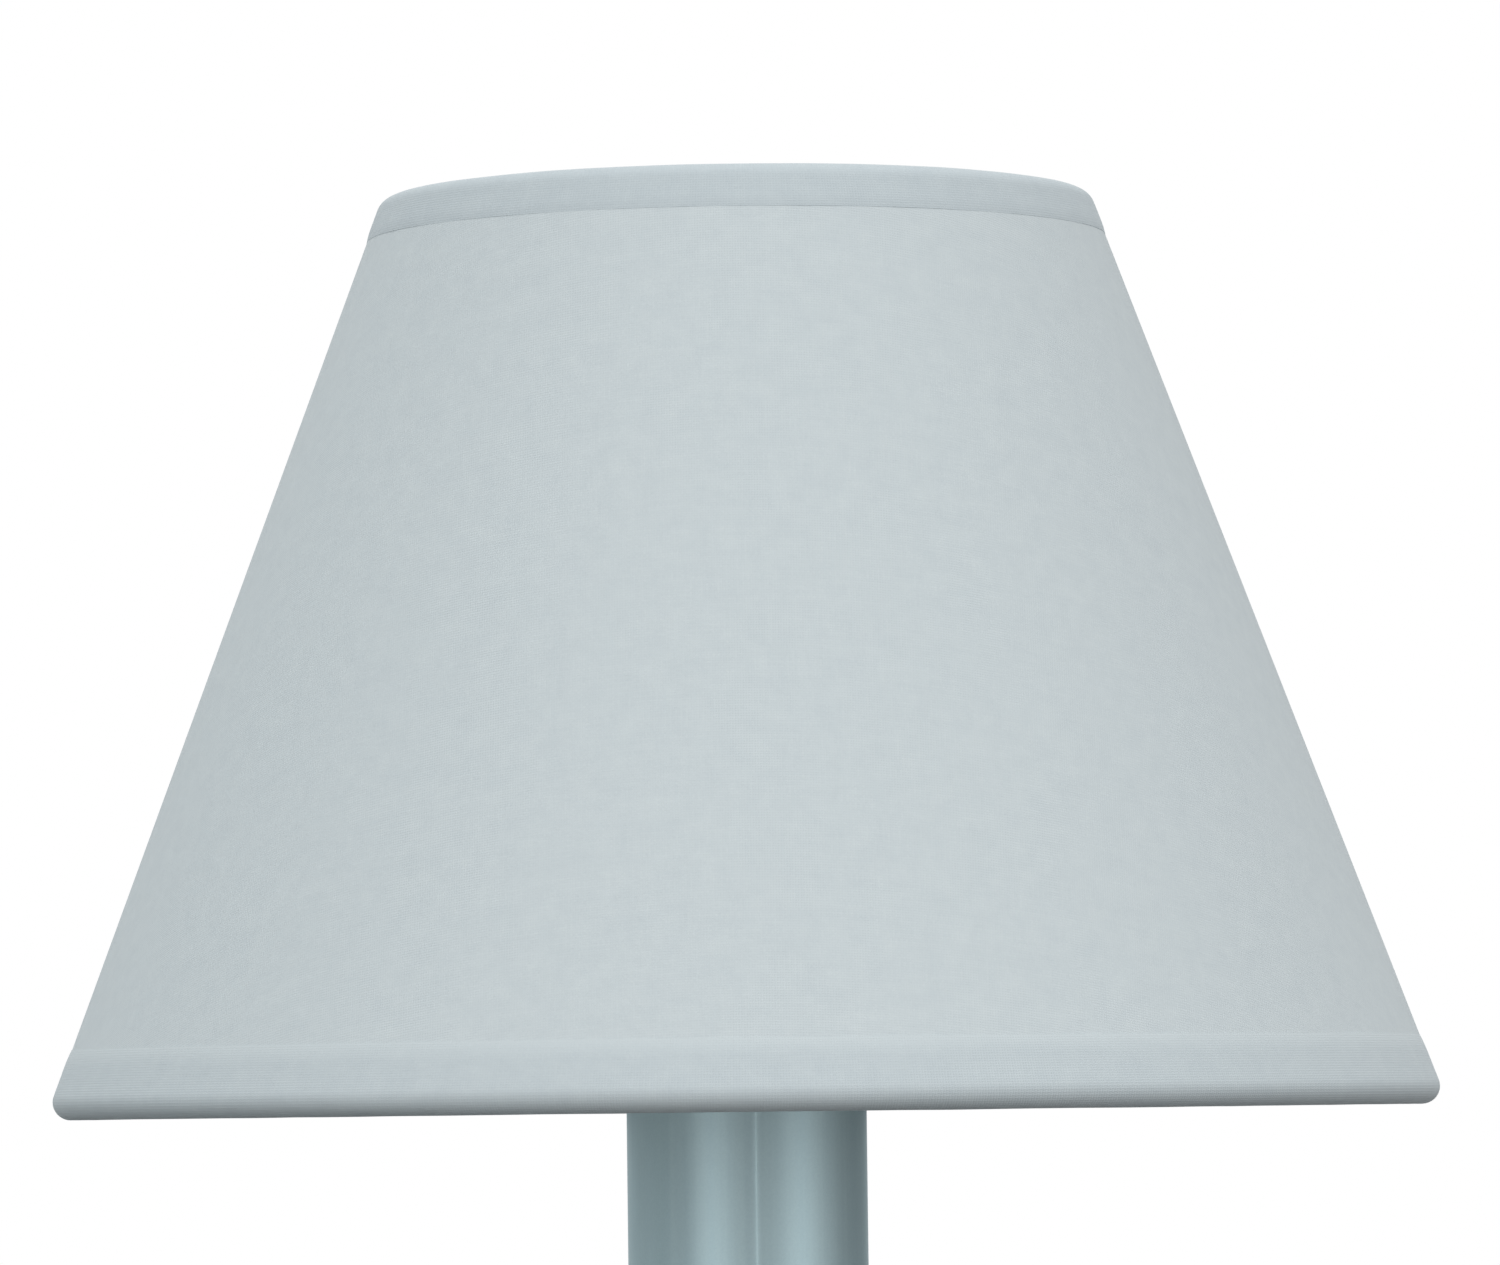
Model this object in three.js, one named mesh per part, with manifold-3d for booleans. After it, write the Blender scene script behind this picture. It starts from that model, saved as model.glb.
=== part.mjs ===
// A three-light chandelier: a ceiling canopy and stem, a turned column with three bent arms, and on each
// arm a candle light with a clip-on cone shade of fabric.
// Millimetres, +Z up. The origin is on the ceiling, on the stem's axis, so the whole part hangs below it.
import * as THREE from "three";
import { mergeVertices } from "three/addons/utils/BufferGeometryUtils.js";
import Module from "manifold-3d";

const wasm = await Module();
wasm.setup();

// Driving dimensions: the whole chandelier
const LIGHTS = 3;
const ARM_REACH = 200; // stem axis to a light's axis
const DROP = 275; // ceiling to the shades' bottom edge
const CLEARANCE = 0.3; // between pieces that touch
const RUNNING_CLEARANCE = 0.45; // between pieces that turn or slide on each other

// Shade
const SHADE_BOTTOM_R = 70;
const SHADE_TOP_R = 35.5;
const SHADE_HEIGHT = 92;
const COVER_WALL = 0.8;
const TAPE = 0.5; // thickness of the edge tapes
const TOP_TAPE_WIDTH = 4.2;
const BOTTOM_TAPE_WIDTH = 7;
const TAPE_TURN_IN = 4; // height of a tape's leg inside the shade
const SHADE_WIRE_R = 1.1;

// Clip
const CLIP_WIRE_R = 0.8;
const CLIP_LOOP_HALF_HEIGHT = 16;
const CLIP_LOOP_HALF_ANGLE = THREE.MathUtils.degToRad(48);
const CLIP_EYE_SPACING = 16; // between the two eyes on the cross wire

// Candle light, with heights from the shade's bottom edge
const SLEEVE_R = 12;
const SLEEVE_WALL = 0.8;
const SLEEVE_LENGTH = 85;
const SLEEVE_TOP = 12;
const HOLDER_LENGTH = 50;
const CAP_R = 6.95;
const CAP_LENGTH = 26;
const CAP_STANDS_OUT = 2.45; // above the lampholder
const BULB_R = 17.5;
const BULB_BELLY = 0.46; // the belly's height as a share of the glass
const GLASS_WALL = 0.9;
const TIP_UNDER_CROSS_WIRE = 1.8;
const NIPPLE_R = 5;
const NIPPLE_BORE_R = 3.6;
const NIPPLE_IN_HOLDER = 8;
const NIPPLE_IN_CUP = 11;
const NUT_HEIGHT = 5;
const PAN_NUT_ACROSS_FLATS = 14;
const PAN_R = 27;
const PAN_DEPTH = 6;
const PAN_WALL = 1.2;
const CUP_WEB = 2.4; // solid between the bores for the nipple and the arm
const CUP_FLANGE_R = 13;

// Arm
const ARM_R = 5.5;
const ARM_BORE_R = 4.3;
const ARM_IN_CUP = 10;
const ARM_IN_HUB = 12;
const ARM_DIP = 53; // from the arm's start in the hub down to its lowest point
const ARM_STRAIGHT = 12; // straight run out of the hub and into the cup

// Column and stem, with heights from the shades' bottom edge
const HUB_MIDDLE = -112;
const HUB_R = 25;
const HUB_HEIGHT = 36;
const HUB_CAP_HEIGHT = 30;
const FINIAL_DROP = 12.5; // the point below the finial's knob
const COLUMN_HEIGHT = 150;
const COLUMN_BELLY_R = 25;
const TIE_ROD_R = 5;
const BALL_R = 15;
const BALL_HEIGHT = 26;
const STEM_R = 6.5;
const STEM_BORE_R = 4.2;
const STEM_IN_BALL = 9;
const ROD_IN_BALL = 9;
const ROD_IN_FINIAL = 14;

// Ceiling fittings
const PLATE_MARGIN = 8.8; // from the plate's edge to the canopy's inner edge
const PLATE_THICKNESS = 3;
const PLATE_BOSS_R = 13;
const PLATE_BOSS_DEPTH = 16; // from the ceiling to the boss's lower face
const PLATE_SLOT_INSET = 10; // from the plate's edge to a slot's middle
const PLATE_SLOT_WIDTH = 5;
const PLATE_SLOT_LENGTH = 12;
const CABLE_HOLE_R = 6;
const CABLE_HOLE_AT = 26; // from the stem's axis
const BLOCK_SIZE = [16, 14, 12];
const STEM_NUT_ACROSS_FLATS = 19;
const CANOPY_R = 56;
const CANOPY_HEIGHT = 44;
const CANOPY_WALL = 1.2;
const COLLAR_R = 11;
const COLLAR_HEIGHT = 10;
const COLLAR_SCREW_R = 2;
const COLLAR_SCREW_HEAD_R = 4.5;
const WIRE_HOLE_R = 2.6; // side holes that the wires leave the stem and the tie rod by

// Facets
const WIDE_FACETS = 24;
const TURNED_FACETS = 16;
const SMALL_FACETS = 12;
const ARM_SIDES = 8;
const BORE_SIDES = 6;
const HOLE_SIDES = 8;
const WIRE_SIDES = 4;

// Finishes
const paintedMetal = new THREE.MeshStandardMaterial({ color: 0x8ea2a9, roughness: 0.38, metalness: 0.55 });
const shadeFabric = new THREE.MeshStandardMaterial({ color: 0xc8d3d6, roughness: 0.95, metalness: 0 });
const tapeFabric = new THREE.MeshStandardMaterial({ color: 0xc0cbd0, roughness: 0.95, metalness: 0 });
const platedSteel = new THREE.MeshStandardMaterial({ color: 0xb9bcbe, roughness: 0.3, metalness: 1 });
const springWire = new THREE.MeshStandardMaterial({ color: 0xd7d8d6, roughness: 0.35, metalness: 0.9 });
const brass = new THREE.MeshStandardMaterial({ color: 0xb79a5b, roughness: 0.35, metalness: 1 });
const whitePlastic = new THREE.MeshStandardMaterial({ color: 0xe9e7e0, roughness: 0.5, metalness: 0 });
const clearGlass = new THREE.MeshStandardMaterial({ color: 0xf2f4f4, roughness: 0.08, metalness: 0 });

// Shape helpers

function turned(profile, facets) {
  // A turned solid from (radius, height) points that run up the outside and down the inside or the axis.
  const onAxis = profile[0][0] === 0 && profile.at(-1)[0] === 0;
  const loop = onAxis ? profile : [...profile, profile[0]];
  const points = loop.map(([r, z]) => new THREE.Vector2(r, z));
  return new THREE.LatheGeometry(points, facets).rotateX(Math.PI / 2);
}

function polygon(radius, sides) {
  return Array.from({ length: sides }, (_, i) => {
    const angle = (2 * Math.PI * i) / sides;
    return new THREE.Vector2(radius * Math.cos(angle), radius * Math.sin(angle));
  });
}

function swept(curve, radius, sides, steps, boreRadius = 0) {
  // A round bar, or a tube with a bore, along a curve.
  const section = new THREE.Shape(polygon(radius, sides));
  if (boreRadius > 0) {
    section.holes.push(new THREE.Path(polygon(boreRadius, BORE_SIDES)));
  }
  return new THREE.ExtrudeGeometry(section, { extrudePath: curve, steps, bevelEnabled: false });
}

function bar(from, to, radius, sides) {
  return swept(new THREE.LineCurve3(from, to), radius, sides, 1);
}

function nut(acrossFlats, height, boreRadius) {
  const hexagon = new THREE.Shape(polygon(acrossFlats / Math.sqrt(3), 6));
  hexagon.holes.push(new THREE.Path(polygon(boreRadius, 12)));
  return new THREE.ExtrudeGeometry(hexagon, { depth: height, bevelEnabled: false });
}

function wireRing(radius, height, wireRadius, facets) {
  const section = polygon(wireRadius, WIRE_SIDES).map((p) => [radius + p.x, height + p.y]);
  return turned(section, facets);
}

function solid(geometry) {
  const bare = geometry.clone();
  bare.deleteAttribute("normal");
  bare.deleteAttribute("uv");
  const merged = mergeVertices(bare, 1e-4);
  const mesh = new wasm.Mesh({
    numProp: 3,
    vertProperties: new Float32Array(merged.attributes.position.array),
    triVerts: new Uint32Array(merged.index.array),
  });
  return new wasm.Manifold(mesh);
}

function geometryOf(manifold) {
  const mesh = manifold.getMesh();
  return new THREE.BufferGeometry()
    .setAttribute("position", new THREE.BufferAttribute(mesh.vertProperties, 3))
    .setIndex(new THREE.BufferAttribute(mesh.triVerts, 1));
}

function joined(...geometries) {
  return geometryOf(geometries.map(solid).reduce((a, b) => a.add(b)));
}

function cut(geometry, ...tools) {
  return geometryOf(tools.map(solid).reduce((left, tool) => left.subtract(tool), solid(geometry)));
}

function piece(parent, name, geometry, material) {
  const mesh = new THREE.Mesh(geometry, material.clone());
  mesh.name = name;
  parent.add(mesh);
  return mesh;
}

// Heights that several pieces share, from the shade's bottom edge

const sleeveBottom = SLEEVE_TOP - SLEEVE_LENGTH;
const panFloorTop = sleeveBottom - CLEARANCE;
const cupTop = panFloorTop - PAN_WALL - CLEARANCE;
const cupBottom = cupTop - NIPPLE_IN_CUP - CUP_WEB - ARM_IN_CUP - 2 * CLEARANCE;
const armTop = cupBottom + ARM_IN_CUP;
const holderTop = SLEEVE_TOP - CLEARANCE;
const holderBottom = holderTop - HOLDER_LENGTH;
const capTop = holderTop + CAP_STANDS_OUT;
const capBottom = capTop - CAP_LENGTH;
const topRingHeight = SHADE_HEIGHT - TAPE - CLEARANCE - SHADE_WIRE_R;
const glassTip = topRingHeight - SHADE_WIRE_R - TIP_UNDER_CROSS_WIRE;

// Shade: the cone, its wires and its edge tapes

function shadeRadius(height) {
  // Outer radius of the tapes' faces at a height above the bottom edge.
  return THREE.MathUtils.lerp(SHADE_BOTTOM_R, SHADE_TOP_R, height / SHADE_HEIGHT);
}

function coverRadius(height) {
  return shadeRadius(height) - TAPE - CLEARANCE;
}

function shadeCover() {
  // The cone stops short of the wires, which lie in the folds of the tapes.
  const wireRoom = TAPE + 2 * SHADE_WIRE_R + 2 * CLEARANCE;
  const low = wireRoom;
  const high = SHADE_HEIGHT - wireRoom;
  return turned(
    [
      [coverRadius(low) - COVER_WALL, low],
      [coverRadius(low), low],
      [coverRadius(high), high],
      [coverRadius(high) - COVER_WALL, high],
    ],
    WIDE_FACETS,
  );
}

function ringRadius(height) {
  return shadeRadius(height) - TAPE - CLEARANCE - SHADE_WIRE_R;
}

function innerLegRadius(height) {
  // Outer face of a tape's leg inside the shade, clear of the wire.
  return ringRadius(height) - SHADE_WIRE_R - CLEARANCE;
}

function edgeTape(edge, into, width) {
  // A tape folded round the edge at height edge: into is +1 at the bottom edge and -1 at the top edge.
  const outerEnd = edge + into * width;
  const innerEnd = edge + into * TAPE_TURN_IN;
  const floor = edge + into * TAPE;
  const section = [
    [shadeRadius(edge), edge],
    [shadeRadius(outerEnd), outerEnd],
    [shadeRadius(outerEnd) - TAPE, outerEnd],
    [shadeRadius(floor) - TAPE, floor],
    [innerLegRadius(floor), floor],
    [innerLegRadius(innerEnd), innerEnd],
    [innerLegRadius(innerEnd) - TAPE, innerEnd],
    [innerLegRadius(edge) - TAPE, edge],
  ];
  return turned(into > 0 ? section : section.reverse(), WIDE_FACETS);
}

function shadeTopTrim() {
  // The tape's leg inside the shade is notched where the cross wire passes.
  const tape = edgeTape(SHADE_HEIGHT, -1, TOP_TAPE_WIDTH);
  const width = 2 * (SHADE_WIRE_R + CLEARANCE);
  const length = 2 * ringRadius(topRingHeight);
  const top = SHADE_HEIGHT - 0.8 * TAPE;
  const height = TAPE_TURN_IN + 1;
  const notch = new THREE.BoxGeometry(width, length, height).translate(0, 0, top - height / 2);
  return cut(tape, notch);
}

function shadeTopFrame() {
  const radius = ringRadius(topRingHeight);
  const end = new THREE.Vector3(0, radius, topRingHeight);
  const crossWire = bar(end.clone().setY(-radius), end, SHADE_WIRE_R, WIRE_SIDES);
  return joined(wireRing(radius, topRingHeight, SHADE_WIRE_R, WIDE_FACETS), crossWire);
}

function shadeBottomRing() {
  const height = TAPE + CLEARANCE + SHADE_WIRE_R;
  return wireRing(ringRadius(height), height, SHADE_WIRE_R, WIDE_FACETS);
}

// Bulb: a screw cap and a candle-shaped glass

function bulbRadius(height) {
  // The glass swells in an easy S from its neck to the belly, then draws in to a blunt point.
  const neckR = CAP_R + RUNNING_CLEARANCE;
  const belly = THREE.MathUtils.lerp(capTop, glassTip, BULB_BELLY);
  if (height < belly) {
    const share = (belly - height) / (belly - capTop);
    return neckR + (BULB_R - neckR) * (0.5 + 0.5 * Math.cos(Math.PI * share));
  }
  const share = Math.min(1, (height - belly) / (glassTip - belly));
  return BULB_R * Math.pow(1 - share * share, 0.8);
}

function bulbGlass() {
  // A blown shell, open at the neck where the cap closes it.
  const bottom = capTop + CLEARANCE;
  const heightAt = (i, count, top) => THREE.MathUtils.lerp(bottom, top, Math.sin((Math.PI / 2) * (i / count)));
  const outside = Array.from({ length: 9 }, (_, i) => {
    const height = heightAt(i, 9, glassTip);
    return [bulbRadius(height), height];
  });
  const insideTop = glassTip - 2 * GLASS_WALL;
  const inside = Array.from({ length: 6 }, (_, i) => {
    const height = heightAt(i, 6, insideTop);
    return [bulbRadius(height) - GLASS_WALL, height];
  });
  const tip = [0, glassTip];
  return turned([[0, insideTop], ...inside.reverse(), ...outside, tip], SMALL_FACETS);
}

function bulbCap() {
  const contactR = 3.2;
  const insulatorHeight = 3;
  const contactHeight = 1.2;
  const neckR = CAP_R - 0.9;
  return turned(
    [
      [0, capBottom],
      [contactR, capBottom],
      [contactR, capBottom + contactHeight],
      [neckR, capBottom + insulatorHeight],
      [CAP_R, capBottom + insulatorHeight + 2],
      [CAP_R, capTop - 4],
      [neckR, capTop - 3],
      [CAP_R, capTop - 1.5],
      [CAP_R, capTop],
      [0, capTop],
    ],
    SMALL_FACETS,
  );
}

// Clip: two wire loops that hug the bulb, each hung by a leg and an eye on the cross wire

function clipHalf(side) {
  const middle = THREE.MathUtils.lerp(capTop, glassTip, BULB_BELLY);
  const standOff = RUNNING_CLEARANCE + CLIP_WIRE_R;
  const onBulb = (angle, height) => {
    const radius = bulbRadius(height) + standOff;
    return new THREE.Vector3(radius * Math.sin(angle), side * radius * Math.cos(angle), height);
  };
  const turns = 16;
  const loopPoints = Array.from({ length: turns }, (_, i) => {
    const t = (2 * Math.PI * i) / turns;
    return onBulb(CLIP_LOOP_HALF_ANGLE * Math.sin(t), middle + CLIP_LOOP_HALF_HEIGHT * Math.cos(t));
  });
  const loop = new THREE.TubeGeometry(
    new THREE.CatmullRomCurve3(loopPoints, true),
    turns,
    CLIP_WIRE_R,
    WIRE_SIDES,
    true,
  );
  const loopTop = onBulb(0, middle + CLIP_LOOP_HALF_HEIGHT);
  const eyeY = (side * CLIP_EYE_SPACING) / 2;
  const eyeR = SHADE_WIRE_R + RUNNING_CLEARANCE + CLIP_WIRE_R;
  const eyeBottom = new THREE.Vector3(0, eyeY, topRingHeight - eyeR);
  const leg = bar(loopTop, eyeBottom, CLIP_WIRE_R, WIRE_SIDES);
  const eye = new THREE.TorusGeometry(eyeR, CLIP_WIRE_R, WIRE_SIDES, 8)
    .rotateX(Math.PI / 2)
    .translate(0, eyeY, topRingHeight);
  return [loop, leg, eye];
}

function bulbClip() {
  // The two halves are one bent wire, joined by a bridge beside the cross wire.
  const eyeR = SHADE_WIRE_R + RUNNING_CLEARANCE + CLIP_WIRE_R;
  const bridgeEnd = new THREE.Vector3(eyeR, CLIP_EYE_SPACING / 2, topRingHeight);
  const bridge = bar(bridgeEnd.clone().setY(-CLIP_EYE_SPACING / 2), bridgeEnd, CLIP_WIRE_R, WIRE_SIDES);
  return joined(...clipHalf(1), ...clipHalf(-1), bridge);
}

// Candle light under the shade

function candleSleeve() {
  return turned(
    [
      [SLEEVE_R - SLEEVE_WALL, sleeveBottom],
      [SLEEVE_R, sleeveBottom],
      [SLEEVE_R, SLEEVE_TOP],
      [SLEEVE_R - SLEEVE_WALL, SLEEVE_TOP],
    ],
    TURNED_FACETS,
  );
}

function lampholder() {
  const bodyR = SLEEVE_R - SLEEVE_WALL - RUNNING_CLEARANCE;
  const socketR = CAP_R + RUNNING_CLEARANCE;
  const socketFloor = capBottom - RUNNING_CLEARANCE;
  const threadR = NIPPLE_R + CLEARANCE;
  const threadTop = holderBottom + NIPPLE_IN_HOLDER + CLEARANCE;
  const wireHoleR = NIPPLE_BORE_R;
  return turned(
    [
      [threadR, holderBottom],
      [bodyR, holderBottom],
      [bodyR, holderTop],
      [socketR, holderTop],
      [socketR, socketFloor],
      [wireHoleR, socketFloor],
      [wireHoleR, threadTop],
      [threadR, threadTop],
    ],
    SMALL_FACETS,
  );
}

function nipple() {
  const top = holderBottom + NIPPLE_IN_HOLDER;
  const bottom = cupTop - NIPPLE_IN_CUP;
  return turned(
    [
      [NIPPLE_BORE_R, bottom],
      [NIPPLE_R, bottom],
      [NIPPLE_R, top],
      [NIPPLE_BORE_R, top],
    ],
    SMALL_FACETS,
  );
}

function dripPan() {
  // A shallow saucer: flat where the candle tube stands, rising to a rolled rim.
  const holeR = NIPPLE_R + CLEARANCE;
  const flatR = SLEEVE_R + 2;
  const under = panFloorTop - PAN_WALL;
  const rimTop = panFloorTop + PAN_DEPTH;
  const shoulderR = PAN_R - 4;
  return turned(
    [
      [holeR, under],
      [flatR + 0.5, under],
      [shoulderR, under + PAN_DEPTH * 0.4],
      [PAN_R, rimTop - PAN_WALL],
      [PAN_R + 0.4, rimTop],
      [PAN_R - PAN_WALL, rimTop],
      [shoulderR - 0.4, panFloorTop + PAN_DEPTH * 0.4],
      [flatR, panFloorTop],
      [holeR, panFloorTop],
    ],
    TURNED_FACETS,
  );
}

function armCup() {
  const threadR = NIPPLE_R + CLEARANCE;
  const threadFloor = cupTop - NIPPLE_IN_CUP - CLEARANCE;
  const armBoreR = ARM_R + CLEARANCE;
  const armCeiling = armTop + CLEARANCE;
  const lowerR = armBoreR + 2;
  return turned(
    [
      [armBoreR, cupBottom],
      [lowerR, cupBottom],
      [lowerR, cupBottom + 5],
      [lowerR + 1.6, cupBottom + 7],
      [lowerR, cupBottom + 9],
      [CUP_FLANGE_R - 1.5, cupTop - 4],
      [CUP_FLANGE_R, cupTop - 2],
      [CUP_FLANGE_R, cupTop],
      [threadR, cupTop],
      [threadR, threadFloor],
      [ARM_BORE_R, threadFloor],
      [ARM_BORE_R, armCeiling],
      [armBoreR, armCeiling],
    ],
    SMALL_FACETS,
  );
}

// Arm: an ogee tube from the hub to the cup, drawn in the plane of the stem and its light

function armPath() {
  const start = HUB_R - ARM_IN_HUB;
  const curveStart = HUB_R + ARM_STRAIGHT;
  const lowest = HUB_MIDDLE - ARM_DIP;
  const lowestAt = THREE.MathUtils.lerp(curveStart, ARM_REACH, 0.56);
  const riseEnd = cupBottom - ARM_STRAIGHT;
  const at = (reach, height) => new THREE.Vector3(reach, 0, height);
  const path = new THREE.CurvePath();
  path.add(new THREE.LineCurve3(at(start, HUB_MIDDLE), at(curveStart, HUB_MIDDLE)));
  const easeOut = (lowestAt - curveStart) * 0.52;
  path.add(
    new THREE.CubicBezierCurve3(
      at(curveStart, HUB_MIDDLE),
      at(curveStart + easeOut, HUB_MIDDLE),
      at(lowestAt - easeOut, lowest),
      at(lowestAt, lowest),
    ),
  );
  path.add(
    new THREE.CubicBezierCurve3(
      at(lowestAt, lowest),
      at(THREE.MathUtils.lerp(lowestAt, ARM_REACH, 0.58), lowest),
      at(ARM_REACH, THREE.MathUtils.lerp(riseEnd, lowest, 0.58)),
      at(ARM_REACH, riseEnd),
    ),
  );
  path.add(new THREE.LineCurve3(at(ARM_REACH, riseEnd), at(ARM_REACH, armTop)));
  return path;
}

function arm() {
  const steps = 18;
  const points = armPath().getSpacedPoints(steps);
  return swept(new THREE.CatmullRomCurve3(points, false, "centripetal"), ARM_R, ARM_SIDES, steps, ARM_BORE_R);
}

// Column: finial, hub cap, hub, baluster and ball, drawn together by the tie rod

const hubBottom = HUB_MIDDLE - HUB_HEIGHT / 2;
const hubTop = HUB_MIDDLE + HUB_HEIGHT / 2;
const hubCapTop = hubBottom - CLEARANCE;
const hubCapBottom = hubCapTop - HUB_CAP_HEIGHT;
const finialTop = hubCapBottom - CLEARANCE;
const columnBottom = hubTop + CLEARANCE;
const columnTop = columnBottom + COLUMN_HEIGHT;
const ballBottom = columnTop + CLEARANCE;
const ballTop = ballBottom + BALL_HEIGHT;
const rodR = TIE_ROD_R + CLEARANCE;

function aroundLights(make) {
  return Array.from({ length: LIGHTS }, (_, i) => make((2 * Math.PI * i) / LIGHTS));
}

function radialBar(from, to, radius, sides, turn) {
  // A cutting bar out of the axis, at the height of the arms' sockets.
  const start = new THREE.Vector3(from, 0, HUB_MIDDLE);
  const end = new THREE.Vector3(to, 0, HUB_MIDDLE);
  return bar(start, end, radius, sides).rotateZ(turn);
}

function hub() {
  const body = turned(
    [
      [rodR, hubBottom],
      [HUB_R - 5, hubBottom],
      [HUB_R, hubBottom + 5],
      [HUB_R, hubTop - 5],
      [HUB_R - 5, hubTop],
      [rodR, hubTop],
    ],
    TURNED_FACETS,
  );
  const socketFloor = HUB_R - ARM_IN_HUB - CLEARANCE;
  const socketR = ARM_R + RUNNING_CLEARANCE;
  const sockets = aroundLights((turn) => radialBar(socketFloor, HUB_R + 2, socketR, 12, turn));
  const wireHoles = aroundLights((turn) => radialBar(0, socketFloor + 1, WIRE_HOLE_R, HOLE_SIDES, turn));
  return cut(body, ...sockets, ...wireHoles);
}

function hubCap() {
  return turned(
    [
      [rodR, hubCapBottom],
      [9, hubCapBottom],
      [9, hubCapBottom + 4],
      [13, hubCapBottom + 9],
      [19, hubCapBottom + 17],
      [22, hubCapBottom + 25],
      [22, hubCapTop],
      [rodR, hubCapTop],
    ],
    TURNED_FACETS,
  );
}

function finial() {
  const rodEnd = finialTop - ROD_IN_FINIAL - CLEARANCE;
  const knobMiddle = finialTop - ROD_IN_FINIAL;
  const knobBottom = knobMiddle - 7.5;
  const bottom = knobBottom - FINIAL_DROP;
  return turned(
    [
      [0, bottom],
      [2.6, bottom + 2],
      [3, bottom + 4.5],
      [2.2, bottom + 7],
      [6.5, knobBottom],
      [10, knobMiddle],
      [7.5, knobMiddle + 7],
      [7.5, finialTop - 4],
      [9, finialTop - 2.5],
      [9, finialTop],
      [rodR, finialTop],
      [rodR, rodEnd],
      [0, rodEnd],
    ],
    TURNED_FACETS,
  );
}

function column() {
  // A baluster, cored out round the tie rod where it bellies.
  const at = (share) => THREE.MathUtils.lerp(columnBottom, columnTop, share);
  return turned(
    [
      [rodR, columnBottom],
      [19, columnBottom],
      [19, at(0.03)],
      [15, at(0.07)],
      [9.5, at(0.16)],
      [13, at(0.22)],
      [9.5, at(0.26)],
      [17, at(0.36)],
      [COLUMN_BELLY_R - 2, at(0.44)],
      [COLUMN_BELLY_R, at(0.53)],
      [COLUMN_BELLY_R - 3, at(0.61)],
      [13, at(0.74)],
      [8.6, at(0.87)],
      [12, at(0.94)],
      [12, columnTop],
      [rodR, columnTop],
      [rodR, at(0.82)],
      [10, at(0.74)],
      [COLUMN_BELLY_R - 6, at(0.61)],
      [COLUMN_BELLY_R - 3, at(0.53)],
      [COLUMN_BELLY_R - 5, at(0.45)],
      [14, at(0.37)],
      [rodR, at(0.29)],
    ],
    TURNED_FACETS,
  );
}

function stemBall() {
  const middle = (ballBottom + ballTop) / 2;
  const stemR = STEM_R + CLEARANCE;
  const stemFloor = ballTop - STEM_IN_BALL - CLEARANCE;
  const rodCeiling = ballBottom + ROD_IN_BALL + CLEARANCE;
  const neckR = stemR + 1.8;
  return turned(
    [
      [rodR, ballBottom],
      [neckR, ballBottom],
      [BALL_R * 0.87, middle - BALL_R * 0.5],
      [BALL_R, middle],
      [BALL_R * 0.87, middle + BALL_R * 0.5],
      [neckR, ballTop],
      [stemR, ballTop],
      [stemR, stemFloor],
      [STEM_BORE_R, stemFloor],
      [STEM_BORE_R, rodCeiling],
      [rodR, rodCeiling],
    ],
    TURNED_FACETS,
  );
}

function tieRod() {
  // Hollow for the wires, which leave it by a side hole behind each arm.
  const wireBoreR = 3.4;
  const bottom = finialTop - ROD_IN_FINIAL;
  const top = ballBottom + ROD_IN_BALL;
  const rod = turned(
    [
      [wireBoreR, bottom],
      [TIE_ROD_R, bottom],
      [TIE_ROD_R, top],
      [wireBoreR, top],
    ],
    TURNED_FACETS,
  );
  return cut(rod, ...aroundLights((turn) => radialBar(0, TIE_ROD_R + 2, WIRE_HOLE_R, HOLE_SIDES, turn)));
}

// Ceiling fittings

const ceiling = DROP;
const plateR = CANOPY_R - CANOPY_WALL - PLATE_MARGIN;
const plateUnder = ceiling - PLATE_THICKNESS;
const bossBottom = ceiling - PLATE_BOSS_DEPTH;
const stemTop = plateUnder - CLEARANCE;
const stemNutTop = bossBottom - CLEARANCE;
const canopyTop = ceiling - CLEARANCE;
const canopyBottom = canopyTop - CANOPY_HEIGHT;
const collarTop = canopyBottom - CLEARANCE;
const collarBottom = collarTop - COLLAR_HEIGHT;
const collarMiddle = (collarTop + collarBottom) / 2;

function stem() {
  const bottom = ballTop - STEM_IN_BALL;
  const tube = turned(
    [
      [STEM_BORE_R, bottom],
      [STEM_R, bottom],
      [STEM_R, stemTop],
      [STEM_BORE_R, stemTop],
    ],
    TURNED_FACETS,
  );
  const wireHoleHeight = (stemNutTop - NUT_HEIGHT + canopyBottom) / 2;
  const wireHole = bar(
    new THREE.Vector3(0, 0, wireHoleHeight),
    new THREE.Vector3(0, -STEM_R - 2, wireHoleHeight),
    WIRE_HOLE_R,
    HOLE_SIDES,
  );
  return cut(tube, wireHole);
}

function screwSlot(across) {
  const slot = new THREE.Shape();
  const end = (PLATE_SLOT_LENGTH - PLATE_SLOT_WIDTH) / 2;
  slot.absarc(end, 0, PLATE_SLOT_WIDTH / 2, -Math.PI / 2, Math.PI / 2);
  slot.absarc(-end, 0, PLATE_SLOT_WIDTH / 2, Math.PI / 2, 1.5 * Math.PI);
  const depth = PLATE_THICKNESS + 2;
  return new THREE.ExtrudeGeometry(slot, { depth, bevelEnabled: false, curveSegments: 5 }).translate(
    across,
    0,
    plateUnder - 1,
  );
}

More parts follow.
